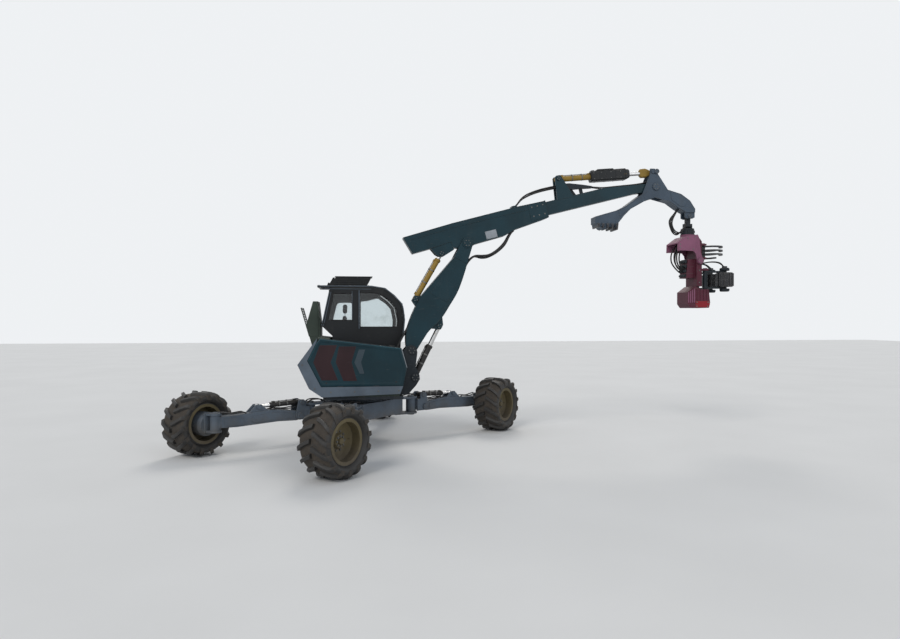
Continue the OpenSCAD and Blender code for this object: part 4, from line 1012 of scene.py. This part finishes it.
head_posts.made("head_rest_posts", seat_place, chrome.material, "upper", "chrome")
CONSOLE = [(-250, 1268), (180, 1268), (228, 1500), (228, 1790), (190, 1850), (60, 1862), (-250, 1862)]
ARMREST = [(-240, 1868), (30, 1868), (42, 1884), (30, 1902), (-225, 1904), (-245, 1886)]
for side, hand in ((-1, "right"), (1, "left")):
    console = Shape()
    near, far = sorted((side * 285, side * 395))
    console.prism(CONSOLE, near, far)
    console.made(hand + "_console", seat_place, lining, "upper", "cab_black", bevel=14)
    rest = Shape()
    rest.prism(ARMREST, near + 10, far - 10)
    rest.made(hand + "_armrest", seat_place, seat_cloth.material, "upper", "seat_cloth", bevel=12)
    stick_lever = Shape()
    at = side * 340
    stick_lever.sweep([(130, at, 1850), (130, at, 1868), (132, at, 1886), (134, at, 1900)],
                      [46, 44, 30, 18], 20)
    stick_lever.sweep(smooth([(134, at, 1895), (142, at, 1950), (150, at - side * 4, 2000),
                              (146, at - side * 8, 2048), (152, at - side * 10, 2072)], 4), 15, 14)
    stick_lever.made(hand + "_joystick", seat_place, rubber_seal.material, "upper", "cab_black")
display = Shape()
display.sweep(smooth([(190, -370, 1850), (260, -372, 1930), (330, -374, 2010)], 4), 12, 10)
display.prism([(318, 1980), (340, 1974), (392, 2170), (372, 2178)], -468, -268)
display.made("display", seat_place, lining, "upper", "cab_black", bevel=8)
pedals = Shape()
for y in (-110, 110):
    pedals.prism([(470, 1268), (560, 1268), (640, 1400), (615, 1412), (520, 1300)], y - 45, y + 45)
pedals.box((-520, -480, 1262), (660, 480, 1267))
pedals.made("floor_mat_and_pedals", seat_place, rubber_seal.material, "upper", "cab_black", bevel=4)


# Cylinders: every tube has port blocks, a steel oil line with clamps, and a gland with a wiper ring.
# The tool cylinder has a dark bolted guard round its far half, and a yellow eye on its rod.
def cylinder_frame(foot, stroke):
    """A cylinder's frame in millimetres: x runs from its foot pin along the rod, z is its upper side."""
    way = Vector(joints[stroke]["axis"])
    side = Vector((0, 0, 1)).cross(way).normalized()
    turn = Matrix((way, side, way.cross(side))).transposed().to_4x4()
    return Matrix.Translation(pin(foot)) @ turn @ Matrix.Scale(0.001, 4)


def cylinder_trim(tag, place, body, length, radius, rod, line_end, paint_coat, slot):
    trim, line = Shape(), Shape()
    for x in (105, line_end):
        trim.box((x - 26, -22, radius - 14), (x + 26, 22, radius + 24))
    trim.band(length - 44, length - 18, rod + 4, radius + 11, 14)
    trim.band(length - 2, length + 8, rod + 1, rod + 12)
    trim.made(tag + "_ports", place, paint_coat, body, slot, bevel=2)
    line.sweep([(120, 0, radius + 12), (line_end - 20, 0, radius + 12)], 8, 10)
    for x in (0.38 * line_end + 60, 0.75 * line_end + 20):
        line.band(x - 12, x + 12, radius - 1, radius + 3)
        line.box((x - 12, -15, radius), (x + 12, 15, radius + 24))
    line.made(tag + "_oil_line", place, bolt_zinc, body, "chrome", bevel=1)


cylinder_trim("boom_lift", cylinder_frame("boom_lift_cylinder", "boom_lift_stroke"), "boom_lift_barrel", 700,
              60, 45, 640, cylinder_dark, "cylinder_dark")
cylinder_trim("stick_fold", cylinder_frame("stick_fold_cylinder", "stick_fold_stroke"), "stick_barrel", 935,
              54, 38, 870, cylinder_yellow, "yellow")
tool_cylinder = cylinder_frame("tool_tilt_cylinder", "tool_tilt_stroke")
cylinder_trim("tool", tool_cylinder, "tool_barrel", 1560, 58, 40, 680, cylinder_yellow, "yellow")
for tag in CORNERS:
    cylinder_trim("leg_lift_" + tag, cylinder_frame("lift_cylinder_" + tag, "lift_stroke_" + tag),
                  "lift_barrel_" + tag, 600, 47, 32, 535, cylinder_dark, "cylinder_dark")


def chamfered(x, half, low, high, cut=26):
    """A section across x with its four corners cut."""
    corners = [(-half, low + cut), (-half, high - cut), (cut - half, high), (half - cut, high),
               (half, high - cut), (half, low + cut), (half - cut, low), (cut - half, low)]
    return [(x, y, z) for y, z in corners]


guard = Shape()
guard.loft([chamfered(x, half, low, high) for x, half, low, high in
            ((710, 96, -90, 94), (726, 109, -106, 108), (1000, 109, -107, 112), (1320, 107, -107, 106),
             (1486, 104, -106, 102), (1535, 100, -84, 98), (1556, 92, -72, 88))])
guard.loft([chamfered(x, 72, 96, 128, 10) for x in (738, 800)])
guard.loft([chamfered(x, half, 96, top, 14) for x, half, top in
            ((846, 76, 112), (868, 90, 142), (1208, 90, 140), (1232, 76, 112))])
guard.loft([chamfered(x, 84, 90, 122, 12) for x in (1262, 1480)])
for x in (830, 1040, 1245, 1460):
    guard.loft([chamfered(at, 113, -110, 118) for at in (x - 11, x + 11)])
guard.made("tool_cylinder_guard", tool_cylinder, cab_black, "tool_barrel", "cylinder_dark", bevel=3)
guard_screws = [(x, z) for x in (770, 930, 1140, 1350) for z in (-62, 62)]
bolts("guard_screws", tool_cylinder, mirrored(guard_screws, 110), "tool_barrel", 8, 7)
TOOL_EYE = 2055
rod_eye = Shape()
rod_eye.loft([chamfered(x, half, -high, high, 20) for x, half, high in
              ((TOOL_EYE - 252, 44, 62), (TOOL_EYE - 226, 46, 92), (TOOL_EYE - 120, 46, 96),
               (TOOL_EYE - 40, 46, 62))])
rod_eye.made("rod_eye_block", tool_cylinder, cylinder_yellow, "tool_rod", "yellow", bevel=4)
rod_eye = Shape()
for s in (-1, 1):
    rod_eye.pin_head((TOOL_EYE, s * 46, 0), (0, s, 0), 60, 9)
rod_eye.made("rod_eye_rings", tool_cylinder, cylinder_yellow, "tool_rod", "yellow")


# Boom and stick: welded boxes whose seams show as beads, with round keepers bolted over every pin end.
# A blank pale plate sits on the stick. Hoses hang in a loop under the joint and arch above the stick.
BOOM_Y = -420
BOOM_LEAN, STICK_LEAN = math.radians(-62.5), math.radians(-14.5)


def leaning_frame(joint, lean):
    """A frame in millimetres at a pin of the boom, with x along the boom or the stick."""
    return Matrix.Translation(pin(joint)) @ Matrix.Rotation(lean, 4, "Y") @ Matrix.Scale(0.001, 4)


boom_frame = leaning_frame("boom_lift", BOOM_LEAN)
stick_frame = leaning_frame("stick_fold", STICK_LEAN)
boom_side = machine @ Matrix.Translation((0, BOOM_Y, 0))


def keepers(name, place, body, ends, material=petrol, slot="green"):
    """Round caps over a pin's ends, each with a ring of bolts. An end is x, z, half width and radius."""
    discs = Shape()
    circles = []
    for x, z, half, radius in ends:
        for s in (-1, 1):
            discs.pin_head((x, s * half, z), (0, s, 0), radius, 12)
            circles.append(((x, s * (half + 12), z), (0, s, 0), radius * 0.66, 4 if radius < 60 else 6))
    discs.made(name, place, material, body, slot)
    bolts(name + "_bolts", place, circles, body, 8, 7)


keepers("boom_foot_keepers", boom_side, "upper", [(977, 1884, 208, 80), (1042, 1347, 208, 80)],
        frame_dark, "frame_dark")
keepers("boom_keepers", boom_frame, "boom", [(2434, 0, 168, 84), (690, -279, 128, 52), (946, 402, 118, 52)])
keepers("stick_keepers", stick_frame, "stick", [(-554, -76, 116, 48)])
keepers("telescope_keepers", stick_frame, "telescope", [(2200, 850, 103, 42)])

BOOM_SHELL = [(-40, 84), (110, 186), (300, 266), (640, 318), (1000, 331), (1110, 316), (1520, 222),
              (2140, 81), (2300, 44)]
BOOM_BELLY = [(-20, -60), (60, -81), (470, -116), (820, -224), (1150, -258), (1540, -271), (2110, -174),
              (2300, -70)]
beads = Shape()
for edge in (BOOM_SHELL, BOOM_BELLY):
    for s in (-1, 1):
        beads.sweep(smooth([(x, s * 149, z) for x, z in edge], 3), 6, 8)
for s in (-1, 1):
    beads.sweep([(2062, s * 150, 106), (2062, s * 150, -186)], 7, 8)
    for lug in ([(560, -128), (640, -328)], [(900, -222), (740, -328)]):
        beads.sweep([(lug[0][0], s * 110, lug[0][1]), (lug[1][0], s * 110, lug[1][1])], 4, 8)
beads.made("boom_weld_beads", boom_frame, petrol, "boom", "green")
bosses = Shape()
for s in (-1, 1):
    bosses.pin_head((2434, s * 156, 0), (0, s, 0), 108, 11)
    bosses.prism([(1180, 200), (1560, 130), (1560, -190), (1180, -190)], s * 149, s * 155)
bosses.made("boom_bosses", boom_frame, petrol, "boom", "green", bevel=2)

STICK_FOLD_LINE = [(-1205, 330), (-180, 372), (1190, 372), (1790, 352)]
STICK_TOP = [(-1228, 414), (-190, 461), (614, 471), (1211, 479), (1795, 463)]
STICK_BELLY = [(-1125, 64), (-696, 79), (-305, 112), (-296, -16), (-130, -56), (-60, -108), (30, -101),
               (167, -46), (806, -26), (1021, 43), (1738, 114)]
beads = Shape()
for s in (-1, 1):
    beads.sweep([(x, s * 109, z) for x, z in STICK_TOP], 6, 8)
    beads.sweep([(x, s * 109, z) for x, z in STICK_BELLY], 5, 8)
    beads.sweep([(x, s * 110, z) for x, z in STICK_FOLD_LINE], 5, 8)
beads.made("stick_weld_beads", stick_frame, petrol, "stick", "green")
stick_plates = Shape()
for s in (-1, 1):
    stick_plates.pin_head((0, s * 109, 0), (0, s, 0), 100, 5)
    stick_plates.prism([(1420, 120), (1800, 150), (1800, 455), (1420, 460)], s * 109, s * 117)
    stick_plates.prism([(-1215, 395), (-1140, 110), (-1060, 90), (-1120, 400)], s * 109, s * 116)
stick_plates.box((1776, -116, 440), (1806, 116, 474))
stick_plates.box((1095, -84, 470), (1205, 84, 520))
stick_plates.made("stick_plates", stick_frame, petrol, "stick", "green", bevel=2)
wear_pads = [(x, z) for x in (1490, 1610, 1730) for z in (210, 400)]
bolts("wear_pad_bolts", stick_frame, mirrored(wear_pads, 117), "stick", 11, 8)
plate = Shape()
plate.box((414, -114, -20), (650, -109, 140))
plate.made("blank_plate", stick_frame, off_white, "stick", "grey_strip", bevel=1)
plate_corners = [((x, -114, z), (0, -1, 0), 0.5, 1) for x in (430, 634) for z in (-4, 124)]
bolts("plate_screws", stick_frame, plate_corners, "stick", 5, 4)

hoses("boom_joint_hoses", boom_side,
      [[(2060, y, 3560), (2140, y, 3690), (2262, y, 3790), (2420, y, 3800 + drop), (2563, y, 3822 + drop),
        (2743, y, 3925 + drop), (2900, y, 4080 + drop), (3010, y, 4262), (3075, y, 4330)]
       for y, drop in ((-78, 0), (-40, -34), (0, 0), (40, -34), (78, 0))], "boom", 20)
hoses("stick_arch_hoses", stick_frame,
      [[(1190, y, 500), (1262, y, 556), (1345, y, 624 + rise / 2), (1446, y, 676 + rise),
        (1600, y, 708 + rise), (1800, y, 724 + rise), (2050, y, 722 + rise), (2262, y, 706 + rise)]
       for y, rise in ((-49, -34), (-17, -34), (17, -34), (49, -34), (-33, 0), (0, 0), (33, 0))],
      "stick", 14)
tray = Shape()
tray.prism([(2240, 600), (2240, 736), (2420, 706), (2680, 618), (2884, 540), (2884, 508), (2560, 560)],
           -62, 62)
tray.prism([(2610, 430), (2610, 600), (2668, 590), (2668, 430)], -30, 30)
tray.prism([(2470, 432), (2400, 612), (2440, 612), (2520, 432)], -22, 22)
tray.made("hose_tray", stick_frame, frame_dark, "telescope", "frame_dark", bevel=3)
slide_lines = Shape()
for s in (-1, 1):
    for z in (186, 428):
        slide_lines.box((2090, s * 90 - 1, z - 6), (3080, s * 90 + 1, z + 6))
    slide_lines.pin_head((4216, s * 90, 206), (0, s, 0), 88, 4)
slide_lines.made("telescope_wear_strips", stick_frame, petrol, "telescope", "green")


# Tool bracket: the curved steel neck that the head hangs from, with the comb on its tail.
# Hoses pass between its cheeks and loop down beside the hanging link.
bracket = Matrix.Translation(pin("tool_tilt")) @ Matrix.Scale(0.001, 4)
keepers("bracket_keepers", bracket, "tool_bracket",
        [(0, 0, 143, 76), (14, 323, 148, 52), (774, -598, 104, 46)], bracket_blue, "leg_steel")
NECK_TOP = [(200, -46), (300, -69), (565, -142), (760, -274), (880, -450)]
NECK_BELLY = [(327, -301), (519, -431), (680, -516)]
TAIL = [(-184, -104), (-298, -165), (-653, -422), (-841, -517), (-1325, -660)]
beads = Shape()
for s in (-1, 1):
    for edge in (NECK_TOP, NECK_BELLY, TAIL):
        beads.sweep([(x, s * 128, z) for x, z in edge], 6, 8)
beads.made("bracket_weld_beads", bracket, bracket_blue, "tool_bracket", "leg_steel")
NECK_DOUBLER = [(330, -100), (545, -165), (700, -290), (640, -400), (540, -395), (350, -265)]
TAIL_DOUBLER = [(-330, -225), (-640, -440), (-820, -540), (-800, -640), (-600, -500), (-320, -330)]
ribs = Shape()
for s in (-1, 1):
    for outline in (NECK_DOUBLER, TAIL_DOUBLER):
        ribs.prism(outline, s * 128, s * 136)
ribs.made("bracket_doublers", bracket, bracket_blue, "tool_bracket", "leg_steel", bevel=2)
teeth = Shape()
for i in range(5):
    x = -1300 + i * 100
    tip = -880 - i * 12
    teeth.loft([[(x + 4, y, -800), (x + 56, y, -800), (x + 42 - cut, y, tip + cut),
                 (x + 13 + cut, y, tip + cut)]
                for y, cut in ((-168 - i * 4, 9), (-162 - i * 4, 0), (162 + i * 4, 0), (168 + i * 4, 9))])
teeth.made("comb_teeth", bracket, knife_steel, "tool_bracket", "leg_steel")
# The bundle leaves the tray narrow and spreads, so that it lies beside the eye of the tool cylinder's rod
BRACKET_RUN = [(2870, 0.5, 528), (2960, 0.58, 500), (3060, 0.74, 468), (3160, 0.9, 446), (3300, 1, 427),
               (3437, 1, 409), (3560, 1, 393), (3700, 1, 374), (3850, 1, 358), (3960, 1, 352), (4065, 1, 356),
               (4180, 1, 352), (4290, 1, 318), (4360, 1, 250), (4380, 1, 160), (4374, 1, 95)]
hoses("bracket_hoses", stick_frame,
      [[(x, y * spread, z) for x, spread, z in BRACKET_RUN] for y in (-90, -68, 68, 90)],
      "telescope", 10, 5, ((3930, 0, 355), (4370, 0, 270)))
head_place = Matrix.Translation(pin("hanger_swing")) @ Matrix.Scale(0.001, 4)
hoses("link_hoses", head_place,
      [[(-230, y - 52, 150), (-300, y - 66, 60), (-372 - k * 16, y - 80, -70), (-392 - k * 10, y - 84, -180),
        (-340, y - 80, -300 - k * 22), (-230, y - 70, -352 - k * 16), (-128, -62, -300 + k * 20),
        (-74, -44 + k * 12, -176 - k * 18), (-46, -20 + k * 14, -112 - k * 26)]
       for k, y in ((0, 0), (1, 36), (2, 72))], "tool_bracket", 14)
drum = Shape()
drum.sweep([(0, 0, -388), (0, 0, -384), (0, 0, -356), (0, 0, -352)], [135, 141, 141, 135], 48)
drum.sweep([(0, 0, -300), (0, 0, -296), (0, 0, -276), (0, 0, -272)], [135, 139, 139, 135], 48)
for turn in range(8):
    a = 2 * math.pi * (turn + 0.5) / 8
    drum.box((134 * math.cos(a) - 14, 134 * math.sin(a) - 14, -352),
             (134 * math.cos(a) + 14, 134 * math.sin(a) + 14, -302))
drum.made("rotator_rings", head_place, frame_dark, "rotator", "frame_dark", bevel=2)
bolts("flange_bolts", head_place, [((0, 0, -390), (0, 0, 1), 143, 12)], "tilt_bracket", 7, 7)


# Harvester head: a red frame with a pink folded cover, knives that close round the trunk, and studded
# feed rollers on swinging arms with their motors on top. The box at its foot holds the saw.
keepers("tilt_keepers", head_place, "tilt_bracket", [(155, -960, 283, 66)], head_pink, "head_pink")
cover = Shape()
for s in (-1, 1):
    cover.prism([(-338, -745), (-332, -596), (-142, -458), (60, -434), (76, -560), (20, -760), (-30, -760)],
                s * 264, s * 271)
cover.made("cover_doublers", head_place, head_pink, "tilt_bracket", "head_pink", bevel=2)
COVER_BOLTS = [(-300, -690), (-296, -620), (-130, -490), (30, -470), (-10, -720)]
bolts("cover_bolts", head_place, mirrored(COVER_BOLTS, 271), "tilt_bracket", 10, 8)
hoses("head_hoses", head_place,
      [[(-40, y, -462), (-70, y * 1.1, -520), (-170 - k * 26, y * 1.25, -640),
        (-236 - k * 34, y * 1.35, -800), (-244 - k * 30, y * 1.35, -960),
        (-200 - k * 20, y * 1.2, -1080), (-146, y, -1120 - k * 30), (-100, y, -1128 - k * 36)]
       for k, y in ((0, -84), (1, -50), (2, -16), (1, 20), (0, 56), (2, 90))], "tilt_bracket", 15)
blocks = Shape()
for z in (-1300, -1200, -1100, -1000):
    blocks.box((-118, -132, z), (-84, 132, z + 62))
    for y in (-100, -34, 34, 100):
        blocks.sweep([(-140, y, z + 31), (-110, y, z + 31)], 19, 14)
blocks.made("valve_sections", head_place, frame_dark, "head", "frame_dark", bevel=2)
skin = Shape()
for s in (-1, 1):
    skin.prism([(92, -1490), (198, -1490), (198, -560), (150, -494), (128, -494), (92, -556)],
               s * 229, s * 235)
    for x in (96, 168, 240, 312):
        skin.prism([(x, -1560), (x + 26, -1560), (x + 26, -1800), (x, -1800)], s * 229, s * 241)
skin.made("head_side_plates", head_place, head_red, "head", "head_red", bevel=2)
stripes = Shape()
for s in (-1, 1):
    for x in (-108, -64, -20, 24):
        lean = (x + 108) * 0.6
        stripes.prism([(x, lean - 1632), (x + 22, lean - 1618), (x + 22, -1846), (x, -1846)],
                      s * 229, s * 239)
stripes.made("saw_box_ribs", head_place, head_pink, "head", "head_pink", bevel=2)
bright_red = worn_paint("bright_red", (0.24, 0.013, 0.020, 1), rough=0.42, wear=0.7, dust=0.4)
foot = Shape()
for s in (-1, 1):
    foot.prism([(60, -1946), (358, -1946), (388, -1870), (360, -1808), (60, -1808)], s * 229, s * 236)
foot.made("saw_box_foot_plates", head_place, bright_red, "head", "head_red", bevel=2)
HEAD_BOLTS = [(145, -600), (145, -760), (145, -1160), (145, -1420), (90, -1920), (330, -1920), (340, -1835),
              (90, -1835)]
bolts("head_bolts", head_place, mirrored(HEAD_BOLTS, 236), "head", 11, 8)
for tag, s in (("left", 1), ("right", -1)):
    motor = Shape()
    at = (690, s * 275)
    for z, rise in ((-1170, 1), (-1548, -1)):
        motor.sweep([(*at, z), (*at, z + rise * 8), (*at, z + rise * 52), (*at, z + rise * 62)],
                    [96, 100, 96, 78], 32)
    motor.box((at[0] - 44, at[1] - 30, -1112), (at[0] + 44, at[1] + 30, -1072))
    motor.made("roller_motor_" + tag, head_place, frame_dark, "roller_arm_" + tag, "frame_dark", bevel=3)
    bolts("motor_bolts_" + tag, head_place,
          [((*at, -1162), (0, 0, 1), 88, 8), ((*at, -1556), (0, 0, -1), 88, 8)], "roller_arm_" + tag, 7, 8)
    rings = Shape()
    for z in (-1508, -1366, -1217):
        rings.sweep([(*at, z), (*at, z + 7)], 161, 40)
    rings.made("roller_rings_" + tag, head_place, knife_steel, "roller_" + tag, "knife_steel")
    hoses("motor_hoses_" + tag, head_place,
          [[(120, s * (150 - d), -1080), (220, s * (190 - d), -1020), (380, s * (262 - d), -986),
            (560, s * (292 - d), -1000), (668 + d / 2, s * (280 - d / 2), -1080)] for d in (0, 40)],
          "head", 13)
    knife_caps = Shape()
    knife_caps.pin_head((260, s * 168, -600), (0, 0, 1), 42, 14)
    knife_caps.pin_head((260, s * 168, -918), (0, 0, -1), 42, 14)
    knife_caps.pin_head((310, s * 170, -1124), (0, 0, 1), 46, 14)
    knife_caps.made("pin_caps_" + tag, head_place, head_red, "head", "head_red")


# Hoses at the boom's foot: six rubber hoses leave a steel block on the deck, to the right of the cab.
# They climb the boom's back and bend over its foot pin.
hoses("boom_foot_hoses", boom_side,
      [[(560, y, 1540), (620, y, 1760), (760, y, 2080), (900, y, 2330), (1010, y, 2560), (1120, y, 2800)]
       for y in (-90, -54, -18, 18, 54, 90)], "upper", 17)
clips = Shape()
clips.box((505, -115, 1445), (615, 115, 1530))
clips.made("deck_manifold", boom_side, frame_dark, "upper", "frame_dark", bevel=4)
